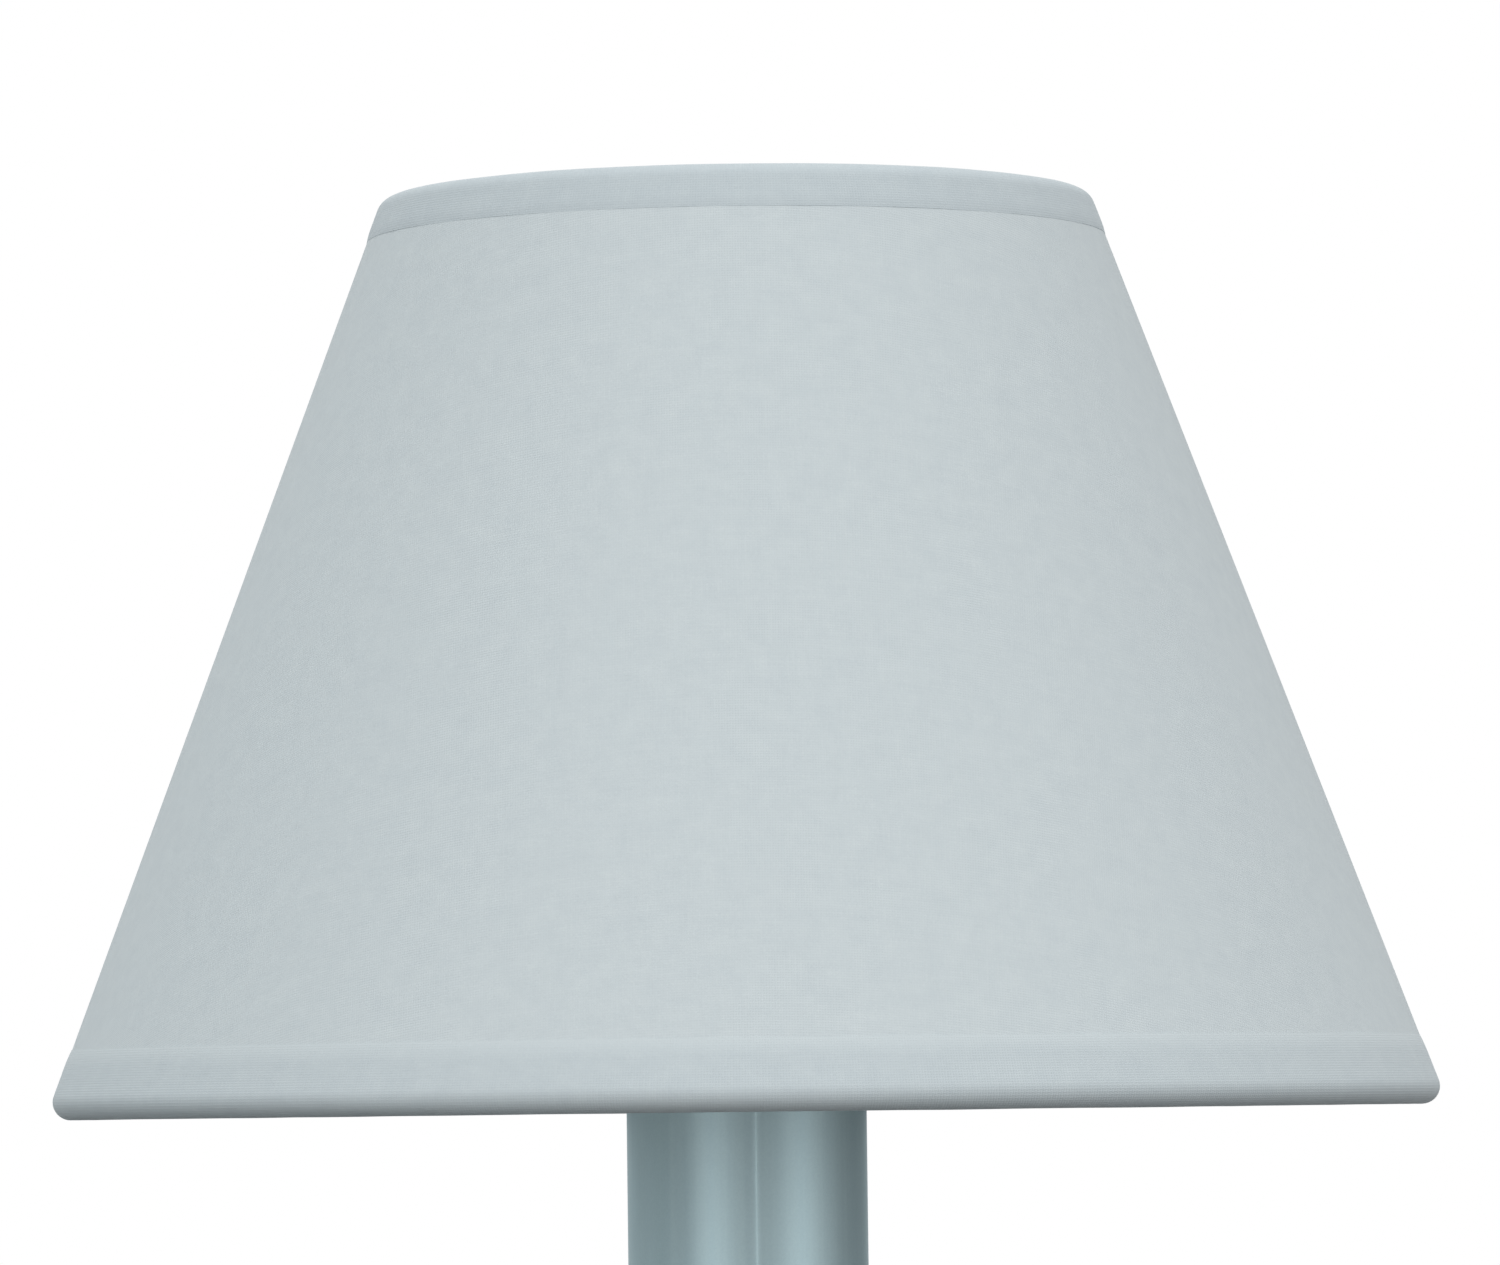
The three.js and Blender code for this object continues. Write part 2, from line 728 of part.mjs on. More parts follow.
function ceilingPlate() {
  // A round plate with a boss that the stem screws into, two screw slots and a hole for the supply cable.
  const socketR = STEM_R + CLEARANCE;
  const plate = turned(
    [
      [0, plateUnder],
      [socketR, plateUnder],
      [socketR, bossBottom],
      [PLATE_BOSS_R, bossBottom],
      [PLATE_BOSS_R, plateUnder],
      [plateR, plateUnder],
      [plateR, ceiling],
      [0, ceiling],
    ],
    TURNED_FACETS,
  );
  const cableHole = bar(
    new THREE.Vector3(0, CABLE_HOLE_AT, plateUnder - 1),
    new THREE.Vector3(0, CABLE_HOLE_AT, ceiling + 1),
    CABLE_HOLE_R,
    12,
  );
  const slotAt = plateR - PLATE_SLOT_INSET;
  return cut(plate, screwSlot(slotAt), screwSlot(-slotAt), cableHole);
}

function canopy() {
  const holeR = STEM_R + RUNNING_CLEARANCE;
  const neckR = COLLAR_R + 1;
  const at = (share) => THREE.MathUtils.lerp(canopyBottom, canopyTop, share);
  const outside = [
    [neckR, canopyBottom],
    [neckR + 3, at(0.12)],
    [CANOPY_R * 0.5, at(0.34)],
    [CANOPY_R * 0.82, at(0.62)],
    [CANOPY_R * 0.96, at(0.86)],
    [CANOPY_R, canopyTop],
  ];
  const inside = outside.map(([r, z], i) => {
    const onFloor = i < 2;
    const rim = i === outside.length - 1;
    return [r - CANOPY_WALL * (onFloor ? 0.6 : 1), rim ? z : z + CANOPY_WALL];
  });
  const floor = [holeR, canopyBottom + CANOPY_WALL];
  return turned([[holeR, canopyBottom], ...outside, ...inside.reverse(), floor], WIDE_FACETS);
}

function canopyCollar() {
  const boreR = STEM_R + RUNNING_CLEARANCE;
  const ring = turned(
    [
      [boreR, collarBottom],
      [COLLAR_R - 1, collarBottom],
      [COLLAR_R, collarBottom + 1],
      [COLLAR_R, collarTop],
      [boreR, collarTop],
    ],
    TURNED_FACETS,
  );
  const screwHole = bar(
    new THREE.Vector3(0, 0, collarMiddle),
    new THREE.Vector3(0, -COLLAR_R - 2, collarMiddle),
    COLLAR_SCREW_R + CLEARANCE,
    12,
  );
  return cut(ring, screwHole);
}

function collarScrew() {
  const shankStart = -(STEM_R + RUNNING_CLEARANCE);
  const headStart = -(COLLAR_R + CLEARANCE);
  const headLength = 6;
  const shank = new THREE.Vector3(0, shankStart, collarMiddle);
  const head = new THREE.Vector3(0, headStart, collarMiddle);
  const end = new THREE.Vector3(0, headStart - headLength, collarMiddle);
  return joined(
    bar(shank, head.clone().setY(headStart - 1), COLLAR_SCREW_R, 10),
    bar(head, end, COLLAR_SCREW_HEAD_R, 16),
  );
}

function terminalBlock() {
  // It hangs under the plate, across from the cable hole.
  const [length, width, height] = BLOCK_SIZE;
  const middle = plateUnder - CLEARANCE - height / 2;
  return new THREE.BoxGeometry(length, width, height).translate(0, -CABLE_HOLE_AT, middle);
}

// The assembly, with its heights measured down from the ceiling

const chandelier = new THREE.Group();
chandelier.name = "chandelier";

const frame = new THREE.Group();
frame.position.z = -DROP;
chandelier.add(frame);

piece(frame, "ceiling_plate", ceilingPlate(), platedSteel);
const stemNut = nut(STEM_NUT_ACROSS_FLATS, NUT_HEIGHT, STEM_R + CLEARANCE);
piece(frame, "stem_lock_nut", stemNut, brass).position.z = stemNutTop - NUT_HEIGHT;
piece(frame, "terminal_block", terminalBlock(), whitePlastic);
piece(frame, "canopy", canopy(), paintedMetal);
piece(frame, "canopy_collar", canopyCollar(), paintedMetal);
piece(frame, "collar_screw", collarScrew(), brass);
piece(frame, "stem", stem(), paintedMetal);
piece(frame, "stem_ball", stemBall(), paintedMetal);
piece(frame, "column", column(), paintedMetal);
piece(frame, "hub", hub(), paintedMetal);
piece(frame, "hub_cap", hubCap(), paintedMetal);
piece(frame, "tie_rod", tieRod(), platedSteel);
piece(frame, "finial", finial(), paintedMetal);

for (let i = 0; i < LIGHTS; i++) {
  const angle = (2 * Math.PI * i) / LIGHTS;
  const named = (name) => `${name}_${i + 1}`;
  piece(frame, named("arm"), arm(), paintedMetal).rotation.z = angle;

  const light = new THREE.Group();
  light.position.set(ARM_REACH * Math.cos(angle), ARM_REACH * Math.sin(angle), 0);
  frame.add(light);
  piece(light, named("arm_cup"), armCup(), paintedMetal);
  piece(light, named("drip_pan"), dripPan(), paintedMetal);
  const panNut = nut(PAN_NUT_ACROSS_FLATS, NUT_HEIGHT, NIPPLE_R + CLEARANCE);
  piece(light, named("pan_nut"), panNut, brass).position.z = panFloorTop + CLEARANCE;
  piece(light, named("nipple"), nipple(), platedSteel);
  piece(light, named("lampholder"), lampholder(), whitePlastic);
  piece(light, named("candle_sleeve"), candleSleeve(), paintedMetal);
  piece(light, named("bulb_cap"), bulbCap(), brass);
  piece(light, named("bulb_glass"), bulbGlass(), clearGlass);
  piece(light, named("bulb_clip"), bulbClip(), springWire);
  piece(light, named("shade_top_frame"), shadeTopFrame(), springWire);
  piece(light, named("shade_bottom_ring"), shadeBottomRing(), springWire);
  piece(light, named("shade_cover"), shadeCover(), shadeFabric);
  piece(light, named("shade_top_trim"), shadeTopTrim(), tapeFabric);
  piece(light, named("shade_bottom_trim"), edgeTape(0, 1, BOTTOM_TAPE_WIDTH), tapeFabric);
}

export default chandelier;
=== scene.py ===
"""Looks of a three-light chandelier with fabric shades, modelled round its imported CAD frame."""

import math

import bpy
import numpy as np
from bpy.props import FloatProperty, FloatVectorProperty, PointerProperty
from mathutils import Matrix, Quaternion, Vector


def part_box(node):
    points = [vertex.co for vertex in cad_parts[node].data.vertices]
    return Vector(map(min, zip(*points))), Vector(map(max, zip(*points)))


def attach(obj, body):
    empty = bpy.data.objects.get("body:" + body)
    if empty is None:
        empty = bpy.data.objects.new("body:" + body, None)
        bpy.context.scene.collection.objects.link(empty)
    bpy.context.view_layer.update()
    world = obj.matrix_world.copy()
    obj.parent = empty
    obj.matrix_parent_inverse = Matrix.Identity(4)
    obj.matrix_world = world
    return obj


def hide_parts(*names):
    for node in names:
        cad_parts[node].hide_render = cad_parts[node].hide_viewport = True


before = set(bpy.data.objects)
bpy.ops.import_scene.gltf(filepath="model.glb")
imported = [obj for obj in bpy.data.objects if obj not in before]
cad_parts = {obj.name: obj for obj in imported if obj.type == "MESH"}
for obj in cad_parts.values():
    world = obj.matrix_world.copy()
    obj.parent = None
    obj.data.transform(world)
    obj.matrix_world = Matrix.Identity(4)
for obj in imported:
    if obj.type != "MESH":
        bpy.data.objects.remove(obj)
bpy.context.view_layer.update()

bl_info = {
    "name": "Three-light chandelier",
    "version": (1, 0, 0),
    "blender": (4, 5, 0),
    "location": "View3D > Sidebar > Chandelier",
    "description": "Models a three-light chandelier with fabric shades round its CAD frame",
    "category": "Object",
}

MM = 0.001   # a length with it is in metres, and a plain one in millimetres, except on the stage
SAME_PLACE = 1e-6   # points nearer than this are merged
WHOLE_END = 1e-5   # square metres: the end of a bar is larger, and a bevel's or ridge's face smaller
WHITE = (1, 1, 1, 1)
LIGHT_NUMBERS = (1, 2, 3)


# Places and sizes read from the frame, in metres unless said otherwise


def half_width(node):
    low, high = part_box(node)
    return (high.x - low.x) / 2


def foot_of(node):
    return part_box(node)[0].z


def height_of(node):
    low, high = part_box(node)
    return high.z - low.z


def middle_of(node):
    low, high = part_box(node)
    return (low + high) / 2


RIM = foot_of("shade_bottom_trim_1")   # height of the shades' bottom edge


def heights_of(node):
    """A node's lowest and highest point, in millimetres above the shades' bottom edge."""
    low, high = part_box(node)
    return (low.z - RIM) / MM, (high.z - RIM) / MM


def light_axis(number):
    middle = middle_of(f"candle_sleeve_{number}")
    return Vector((middle.x, middle.y, 0))


def light_turn(number):
    axis = light_axis(number)
    return math.atan2(axis.y, axis.x)


def cad_shade():
    """Bottom radius, top radius and height of the shade in the frame."""
    bottom = half_width("shade_bottom_trim_1")
    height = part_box("shade_top_trim_1")[1].z - RIM
    tape_end = height - height_of("shade_top_trim_1")
    slope = (bottom - half_width("shade_top_trim_1")) / tape_end
    return bottom, bottom - slope * height, height


SHADE_BOTTOM, SHADE_TOP, SHADE_HEIGHT = cad_shade()


# Sizes and colours that a user would change


def distance(name, description, default, least=0.0):
    return FloatProperty(name=name, description=description, default=default, min=least, precision=4,
                         subtype="DISTANCE", unit="LENGTH")


def colour(name, description, default):
    return FloatVectorProperty(name=name, description=description, default=default, min=0.0, max=1.0,
                               size=3, subtype="COLOR")


def power(name, description, default):
    return FloatProperty(name=name, description=description, default=default, min=0.0,
                         subtype="POWER", unit="POWER")


class ShadeSizes(bpy.types.PropertyGroup):
    """Sizes of the fabric shades."""

    bottom_radius: distance("Bottom radius", "Outer radius at the bottom edge", SHADE_BOTTOM)
    top_radius: distance("Top radius", "Outer radius at the top edge", SHADE_TOP)
    height: distance("Height", "From the bottom edge to the top edge", SHADE_HEIGHT)
    top_tape: distance("Top tape", "Width of the top tape's face", 4.5 * MM)
    bottom_tape: distance("Bottom tape", "Width of the bottom tape's face", height_of("shade_bottom_trim_1"))
    thread: distance("Thread spacing", "Distance between neighbouring threads of the weave", 0.26 * MM)


class MetalSizes(bpy.types.PropertyGroup):
    """Sizes of the metal pieces."""

    tube_radius: distance("Tube radius", "Outer radius of a candle tube", half_width("candle_sleeve_1"))
    arm_radius: distance("Arm radius", "Outer radius of an arm's tube", 5.5 * MM)
    stem_radius: distance("Stem radius", "Outer radius of the stem", half_width("stem"))
    belly_radius: distance("Column radius", "Radius of the column's belly", half_width("column"))
    canopy_radius: distance("Canopy radius", "Radius of the canopy's rim", half_width("canopy"))


class FinishColours(bpy.types.PropertyGroup):
    """Colours of the finishes."""

    shade: colour("Shade", "Fabric of the shades", (0.592, 0.655, 0.676))
    tape: colour("Tape", "Fabric tape on the shades' edges", (0.540, 0.606, 0.634))
    lining: colour("Lining", "Stiff lining inside the shades", (0.80, 0.80, 0.77))
    paint: colour("Paint", "Satin paint of the metal", (0.405, 0.530, 0.566))
    wire: colour("Wire", "Wire of the shade rings and clips", (0.72, 0.72, 0.71))
    brass: colour("Brass", "Brass nuts, screw and bulb caps", (0.66, 0.50, 0.25))
    steel: colour("Steel", "Plated steel of the plate and pipes", (0.60, 0.61, 0.62))
    plastic: colour("Plastic", "White plastic of the lampholders", (0.80, 0.79, 0.75))


class StageSettings(bpy.types.PropertyGroup):
    """Floor, lamps and sky."""

    floor_height: distance("Floor height", "Height of the floor under the ceiling", -0.62, least=-10.0)
    key_power: power("Key lamp", "Power of the lamp on the left", 2.02)
    fill_power: power("Fill lamp", "Power of the lamp on the right", 2.02)
    top_power: power("Top lamp", "Power of the lamp above the camera", 8.0)
    back_power: power("Back lamp", "Power of the lamp behind", 1.5)
    sky_above: FloatProperty(name="Sky above", description="Light from overhead", default=0.97, min=0.0)
    sky_below: FloatProperty(name="Sky below", description="Light from underneath", default=0.04, min=0.0)


class ChandelierSettings(bpy.types.PropertyGroup):
    """All settings of the chandelier."""

    shade: PointerProperty(type=ShadeSizes)
    metal: PointerProperty(type=MetalSizes)
    colours: PointerProperty(type=FinishColours)
    stage: PointerProperty(type=StageSettings)


def options():
    return bpy.context.scene.chandelier


# Outlines: (radius, height) points, in millimetres


def curve(points, per_span=6):
    """Points on a smooth line through the given points."""
    given = [np.array(p, float) for p in points]
    padded = [2 * given[0] - given[1], *given, 2 * given[-1] - given[-2]]
    line = []
    for before, here, there, after in zip(padded, padded[1:], padded[2:], padded[3:]):
        for step in range(per_span):
            t = step / per_span
            line.append(0.5 * (2 * here + (there - before) * t
                               + (2 * before - 5 * here + 4 * there - after) * t ** 2
                               + (3 * here - before - 3 * there + after) * t ** 3))
    return [tuple(p) for p in (*line, given[-1])]


def arc(middle, radius, first, last, steps=10):
    """Points on an arc, from one angle in degrees to another."""
    angles = np.radians(np.linspace(first, last, steps + 1))
    return [(middle[0] + radius * math.cos(a), middle[1] + radius * math.sin(a)) for a in angles]


def eased(outline, size, closed=True, steps=4, sharp=math.radians(25), most=0.45):
    """The outline with its sharp corners rounded, by arcs no larger than size. An arc takes up no more
    than the given share of each line that it joins."""
    points = [Vector(p) for p in outline]
    rounded = []
    for i, here in enumerate(points):
        back, on = points[i - 1] - here, points[(i + 1) % len(points)] - here
        at_end = not closed and i in (0, len(points) - 1)
        doubled = back.length < SAME_PLACE or on.length < SAME_PLACE
        if at_end or doubled or math.pi - back.angle(on) < sharp:
            rounded.append(here)
            continue
        reach = min(size / math.tan(back.angle(on) / 2), most * back.length, most * on.length)
        start, end = here + back.normalized() * reach, here + on.normalized() * reach
        for step in range(steps + 1):
            t = step / steps
            rounded.append(start.lerp(here, t).lerp(here.lerp(end, t), t))
    return [tuple(p) for p in rounded]


def thread_outline(radius, depth, low, high, pitch):
    """The ridges of a screw thread, from a low to a high point of an outline."""
    ridge = ((depth, 0.1), (0.0, 0.45), (0.0, 0.6), (depth, 0.95))   # depth, and share of the pitch
    return [(radius - sunk, low + (number + share) * pitch)
            for number in range(int((high - low) / pitch)) for sunk, share in ridge]


def upright(path):
    """Points above the X axis, in metres, from (x, height above the shades' bottom edge)."""
    return [Vector((x * MM, 0, RIM + z * MM)) for x, z in path]


# Modelling


def enter_edit():
    bpy.ops.object.mode_set(mode="EDIT")


def leave_edit():
    bpy.ops.object.mode_set(mode="OBJECT")


def clear_selection():
    if bpy.context.object and bpy.context.object.mode != "OBJECT":
        leave_edit()
    bpy.ops.object.select_all(action="DESELECT")


def choose(piece, *others):
    clear_selection()
    for other in others:
        other.select_set(True)
    piece.select_set(True)
    bpy.context.view_layer.objects.active = piece


def pick(piece, kind, wanted):
    """Selects a piece's vertices, edges or faces by a test, and leaves the piece in edit mode."""
    choose(piece)
    enter_edit()
    bpy.ops.mesh.select_mode(type=kind)
    bpy.ops.mesh.select_all(action="DESELECT")
    leave_edit()
    parts = {"VERT": piece.data.vertices, "EDGE": piece.data.edges, "FACE": piece.data.polygons}[kind]
    for part in parts:
        part.select = bool(wanted(part))
    enter_edit()


def step_in(steps):
    """Insets the picked face in steps, each of a width and a rise in millimetres."""
    for width, rise in steps:
        bpy.ops.mesh.inset(thickness=width * MM, depth=rise * MM)


def settle(piece):
    """Puts a piece's place into its mesh, so that its object sits at the origin."""
    choose(piece)
    bpy.ops.object.transform_apply(location=True, rotation=True, scale=True)


def remove(piece):
    choose(piece)
    bpy.ops.object.delete()


def smooth(piece, angle=35):
    choose(piece)
    bpy.ops.object.shade_smooth_by_angle(angle=math.radians(angle))


def add(primitive, name, **sizes):
    """Adds a primitive at its size and place."""
    clear_selection()
    primitive(**sizes)
    piece = bpy.context.object
    piece.name = name
    settle(piece)
    return piece


def round_bar(name, radius, depth, at, axis="Z", sides=48):
    """A cylinder to cut with or to shape further, in metres."""
    rotation = {"X": (0, math.pi / 2, 0), "Y": (math.pi / 2, 0, 0), "Z": (0, 0, 0)}[axis]
    return add(bpy.ops.mesh.primitive_cylinder_add, name, vertices=sides, radius=radius, depth=depth,
               location=at, rotation=rotation)


def draw(name, points):
    """A chain of edges through points, in edit mode: one vertex, extruded from point to point."""
    piece = add(bpy.ops.mesh.primitive_plane_add, name, size=MM, location=(0, 0, 0))
    enter_edit()
    bpy.ops.mesh.select_mode(type="VERT")
    bpy.ops.mesh.select_all(action="SELECT")
    bpy.ops.mesh.merge(type="CENTER")
    bpy.ops.transform.translate(value=points[0])
    for here, there in zip(points, points[1:]):
        bpy.ops.mesh.extrude_vertices_move(TRANSFORM_OT_translate={"value": there - here})
    bpy.ops.mesh.select_all(action="SELECT")
    return piece


def close_up(piece):
    """Merges the doubles of a piece in edit mode, turns its faces outwards and smooths it."""
    bpy.ops.mesh.select_all(action="SELECT")
    bpy.ops.mesh.remove_doubles(threshold=SAME_PLACE)
    bpy.ops.mesh.normals_make_consistent(inside=False)
    leave_edit()
    smooth(piece)
    return piece


def turn(name, outline, foot=RIM, steps=96, closed=True, start=0.0):
    """Turns an outline round the Z axis. Its heights count from the foot, which is in metres."""
    loop = [*outline, outline[0]] if closed else outline
    points = [Vector((r * math.cos(start) * MM, r * math.sin(start) * MM, foot + z * MM)) for r, z in loop]
    piece = draw(name, points)
    bpy.ops.mesh.spin(steps=steps, angle=2 * math.pi, center=(0, 0, 0), axis=(0, 0, 1))
    return close_up(piece)


def bend(name, points, radius, closed=False, roundness=4):
    """Round wire or tube bent along points, in metres."""
    draw(name, [*points, points[0]] if closed else points)
    bpy.ops.mesh.remove_doubles(threshold=SAME_PLACE)
    leave_edit()
    bpy.ops.object.convert(target="CURVE")
    line = bpy.context.object.data
    line.dimensions = "3D"
    line.bevel_depth = radius
    line.bevel_resolution = roundness
    line.use_fill_caps = not closed
    bpy.ops.object.convert(target="MESH")
    enter_edit()
    return close_up(bpy.context.object)


def join(piece, *others):
    choose(piece, *others)
    bpy.ops.object.join()
    return piece


def apply_modifier(piece, kind, **settings):
    choose(piece)
    bpy.ops.object.modifier_add(type=kind)
    modifier = piece.modifiers[-1]
    for key, value in settings.items():
        setattr(modifier, key, value)
    bpy.ops.object.modifier_apply(modifier=modifier.name)


def cut(piece, cutter, operation="DIFFERENCE"):
    """Takes the cutter's shape out of a piece, or keeps what they share, and removes the cutter."""
    apply_modifier(piece, "BOOLEAN", operation=operation, solver="EXACT", object=cutter)
    remove(cutter)
    choose(piece)


def hexagon_nut(name, node, across_flats, bore, chamfer=0.9):
    """A chamfered nut on the Z axis, as high as the node that it stands for. Widths are in millimetres."""
    foot, height = foot_of(node), height_of(node) / MM
    nut = add(bpy.ops.mesh.primitive_cylinder_add, name, vertices=6, radius=across_flats / math.sqrt(3) * MM,
              depth=height * MM, location=(0, 0, foot + height / 2 * MM), rotation=(0, 0, math.radians(30)))
    flat, clear_of_corners = across_flats * 0.5 - 0.2, across_flats * 0.61
    outline = [(flat, 0.0), (clear_of_corners, chamfer), (clear_of_corners, height - chamfer), (flat, height),
               (bore, height), (bore, 0.0)]
    cut(nut, turn("nut_chamfer", eased(outline, 0.15), foot, steps=72), "INTERSECT")
    smooth(nut, 25)
    return nut


def paint(piece, *names):
    """Gives a piece the named finishes."""
    piece.data.materials.clear()
    for name in names:
        piece.data.materials.append(finish(name))
    return piece


def finish_piece(piece, body, node):
    """Names a finished piece's mesh after it, puts the piece on its body and hides the node that it stands
    for.
    """
    piece.data.name = piece.name
    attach(piece, body)
    if node:
        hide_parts(node)
    return piece


def set_on_lights(piece, node, body, turned=False):
    """Copies a piece modelled on the Z axis onto each light, each copy with its own mesh.
    A turned piece swings round the stem to its light instead."""
    name = piece.name
    made = []
    for number in LIGHT_NUMBERS:
        choose(piece)
        bpy.ops.object.duplicate(linked=False)
        copy = bpy.context.object
        if turned:
            copy.rotation_euler.z = light_turn(number)
        else:
            copy.location = light_axis(number)
        settle(copy)
        copy.name = f"{name}_{number}"
        made.append(finish_piece(copy, body.format(number), f"{node}_{number}" if node else None))
    remove(piece)
    return made


# Finishes


class Nodes:
    """A node tree under construction."""

    def __init__(self, tree):
        self.tree = tree
        self.tree.nodes.clear()

    def feed(self, socket, value):
        if isinstance(value, bpy.types.NodeSocket):
            self.tree.links.new(value, socket)
        else:
            socket.default_value = value

    def node(self, kind, inputs=None, **settings):
        made = self.tree.nodes.new(kind)
        for key, value in settings.items():
            setattr(made, key, value)
        for key, value in (inputs or {}).items():
            self.feed(made.inputs[key], value)
        return made

    def math(self, operation, *values):
        return self.node("ShaderNodeMath", dict(enumerate(values)), operation=operation).outputs[0]

    def weighed(self, first, share, second):
        """A share of the first value, and the second for the rest."""
        return self.math("ADD", self.math("MULTIPLY", first, share), self.math("MULTIPLY", second, 1 - share))

    def span(self, value, low, high, start=0.3, end=0.7, **settings):
        """A value from start to end, as one from low to high."""
        inputs = {"Value": value, "From Min": start, "From Max": end, "To Min": low, "To Max": high}
        return self.node("ShaderNodeMapRange", inputs, **settings).outputs[0]


class Finish(Nodes):
    """A material under construction: a shader, and the nodes that feed it."""

    def __init__(self, name):
        self.material = bpy.data.materials.new(name)
        self.material.use_nodes = True
        super().__init__(self.material.node_tree)
        self.shader = self.node("ShaderNodeBsdfPrincipled")
        self.output = self.node("ShaderNodeOutputMaterial", {"Surface": self.shader.outputs["BSDF"]})

    def place(self, stretch=None):
        """Object coordinates, finer along an axis with a larger number."""
        where = self.node("ShaderNodeTexCoord").outputs["Object"]
        if not stretch:
            return where
        return self.node("ShaderNodeMapping", {"Vector": where, "Scale": stretch}).outputs["Vector"]

    def noise(self, place, scale, detail=2.0, roughness=0.5):
        inputs = {"Vector": place, "Scale": scale, "Detail": detail, "Roughness": roughness}
        return self.node("ShaderNodeTexNoise", inputs).outputs[0]

    def blend(self, share, first, second):
        return self.node("ShaderNodeMix", {0: share, 6: first, 7: second}, data_type="RGBA").outputs[2]

    def bump(self, height, strength, distance):
        inputs = {"Height": height, "Strength": strength, "Distance": distance}
        self.feed(self.shader.inputs["Normal"], self.node("ShaderNodeBump", inputs).outputs[0])

    def surface(self, inputs):
        for key, value in inputs.items():
            self.feed(self.shader.inputs[key], value)


def tone(base, amount, tint=(1, 1, 1)):
    """A lighter or darker tone of a colour, as shader values."""
    return (*[min(1.0, c * amount * t) for c, t in zip(base, tint)], 1.0)


def woven_cloth(name, base, pitch, soft_edge=None):
    """Plain-woven cloth. Its threads follow the UV map "cut", which is in metres on the flat cloth.
    soft_edge is a (from, to, colour) band along V where another cloth's colour takes over."""
    f = Finish(name)
    flat = f.node("ShaderNodeUVMap", uv_map="cut").outputs["UV"]
    split = f.node("ShaderNodeSeparateXYZ", {"Vector": flat}).outputs
    across = f.math("DIVIDE", split["X"], pitch)
    along = f.math("DIVIDE", split["Y"], pitch)
    wave_across = f.math("COSINE", f.math("MULTIPLY", across, math.pi))
    wave_along = f.math("COSINE", f.math("MULTIPLY", along, math.pi))
    over = f.math("MULTIPLY", wave_across, wave_along)

    def crowns(wave, side):
        """Threads of one direction, raised where they pass over the others."""
        return f.math("MULTIPLY", f.math("MULTIPLY", wave, wave), f.math("MULTIPLY_ADD", over, side, 0.5))

    def yarn(first, second):
        """Uneven tone that runs along single threads."""
        place = f.node("ShaderNodeCombineXYZ", {"X": first, "Y": second}).outputs[0]
        return f.noise(place, scale=1.0)

    weave = f.math("MAXIMUM", crowns(wave_across, 0.5), crowns(wave_along, -0.5))
    run = 0.06   # pace of the tone's change along a thread, where 1 is the pace from thread to thread
    apart = 57.3   # keeps the two directions' tones from being alike
    warp_yarn = yarn(f.math("ROUND", across), f.math("MULTIPLY", along, run))
    weft_yarn = yarn(f.math("MULTIPLY", across, run), f.math("ADD", f.math("ROUND", along), apart))
    on_top = f.math("GREATER_THAN", over, 0.0)
    below = f.math("SUBTRACT", 1.0, on_top)
    yarn_tone = f.math("ADD", f.math("MULTIPLY", warp_yarn, on_top), f.math("MULTIPLY", weft_yarn, below))
    melange = f.noise(flat, scale=420.0, detail=3.0, roughness=0.65)
    cloth = f.blend(f.span(f.weighed(yarn_tone, 0.45, melange), 0.0, 1.0),
                    tone(base, 0.957, (0.995, 1.0, 1.01)), tone(base, 1.043, (1.005, 1.0, 0.995)))
    # painted shade: the cloth is darkened in the gaps between the threads, where the weave lies low
    cloth = f.blend(f.span(weave, 0.10, 0.0, 0.0, 0.5), cloth, tone(base, 0.72))
    if soft_edge:
        start, end, other = soft_edge
        cloth = f.blend(f.span(split["Y"], 0.0, 1.0, start, end), cloth, tone(other, 1.0))
    f.surface({"Base Color": cloth, "Roughness": f.span(weave, 0.96, 0.86, 0.0, 1.0), "Sheen Weight": 0.12,
               "Sheen Roughness": 0.45, "Specular IOR Level": 0.25})
    f.bump(f.math("ADD", weave, f.math("MULTIPLY", yarn_tone, 0.5)), strength=0.35, distance=0.06 * MM)
    return f.material


def stiff_lining(name, base):
    """Smooth pale lining film that the cloth is laminated on."""
    f = Finish(name)
    cloud = f.noise(f.place(), scale=45.0, detail=3.0)
    grain = f.noise(f.place(), scale=2400.0)
    film = f.blend(f.span(cloud, 0.0, 1.0), tone(base, 0.96), tone(base, 1.02, (1.0, 0.995, 0.98)))
    f.surface({"Base Color": film, "Roughness": f.span(grain, 0.42, 0.55)})
    f.bump(f.math("ADD", f.math("MULTIPLY", cloud, 2.0), grain), strength=0.2, distance=0.05 * MM)
    return f.material


def satin_paint(name, base, drawn=False):
    """Satin metallic paint, worn a little lighter on edges. A drawn tube shows faint lines along Z."""
    f = Finish(name)
    cloud = f.noise(f.place(), scale=24.0, detail=3.0)
    flake = f.noise(f.place(), scale=4200.0, detail=1.0)
    film = f.weighed(cloud, 0.55, flake)
    if drawn:
        lines = f.noise(f.place((620, 620, 7)), scale=1.0, detail=3.0, roughness=0.6)
        film = f.weighed(film, 0.55, lines)
    coat = f.blend(f.span(film, 0.0, 1.0),
                   tone(base, 0.90, (0.98, 1.0, 1.02)), tone(base, 1.10, (1.02, 1.0, 0.98)))
    pointed = f.node("ShaderNodeNewGeometry").outputs["Pointiness"]
    worn = f.math("MULTIPLY", f.span(pointed, 0.0, 0.5, 0.52, 0.60), f.span(cloud, 0.2, 1.0))
    f.surface({"Base Color": f.blend(worn, coat, tone(base, 1.55, (1.05, 1.0, 0.97))), "Metallic": 0.42,
               "Roughness": f.span(film, 0.35, 0.43), "Specular Tint": tone(base, 1.2)})
    peel = f.noise(f.place(), scale=520.0)
    f.bump(f.math("ADD", peel, f.math("MULTIPLY", flake, 0.3)), strength=0.10, distance=0.10 * MM)
    return f.material


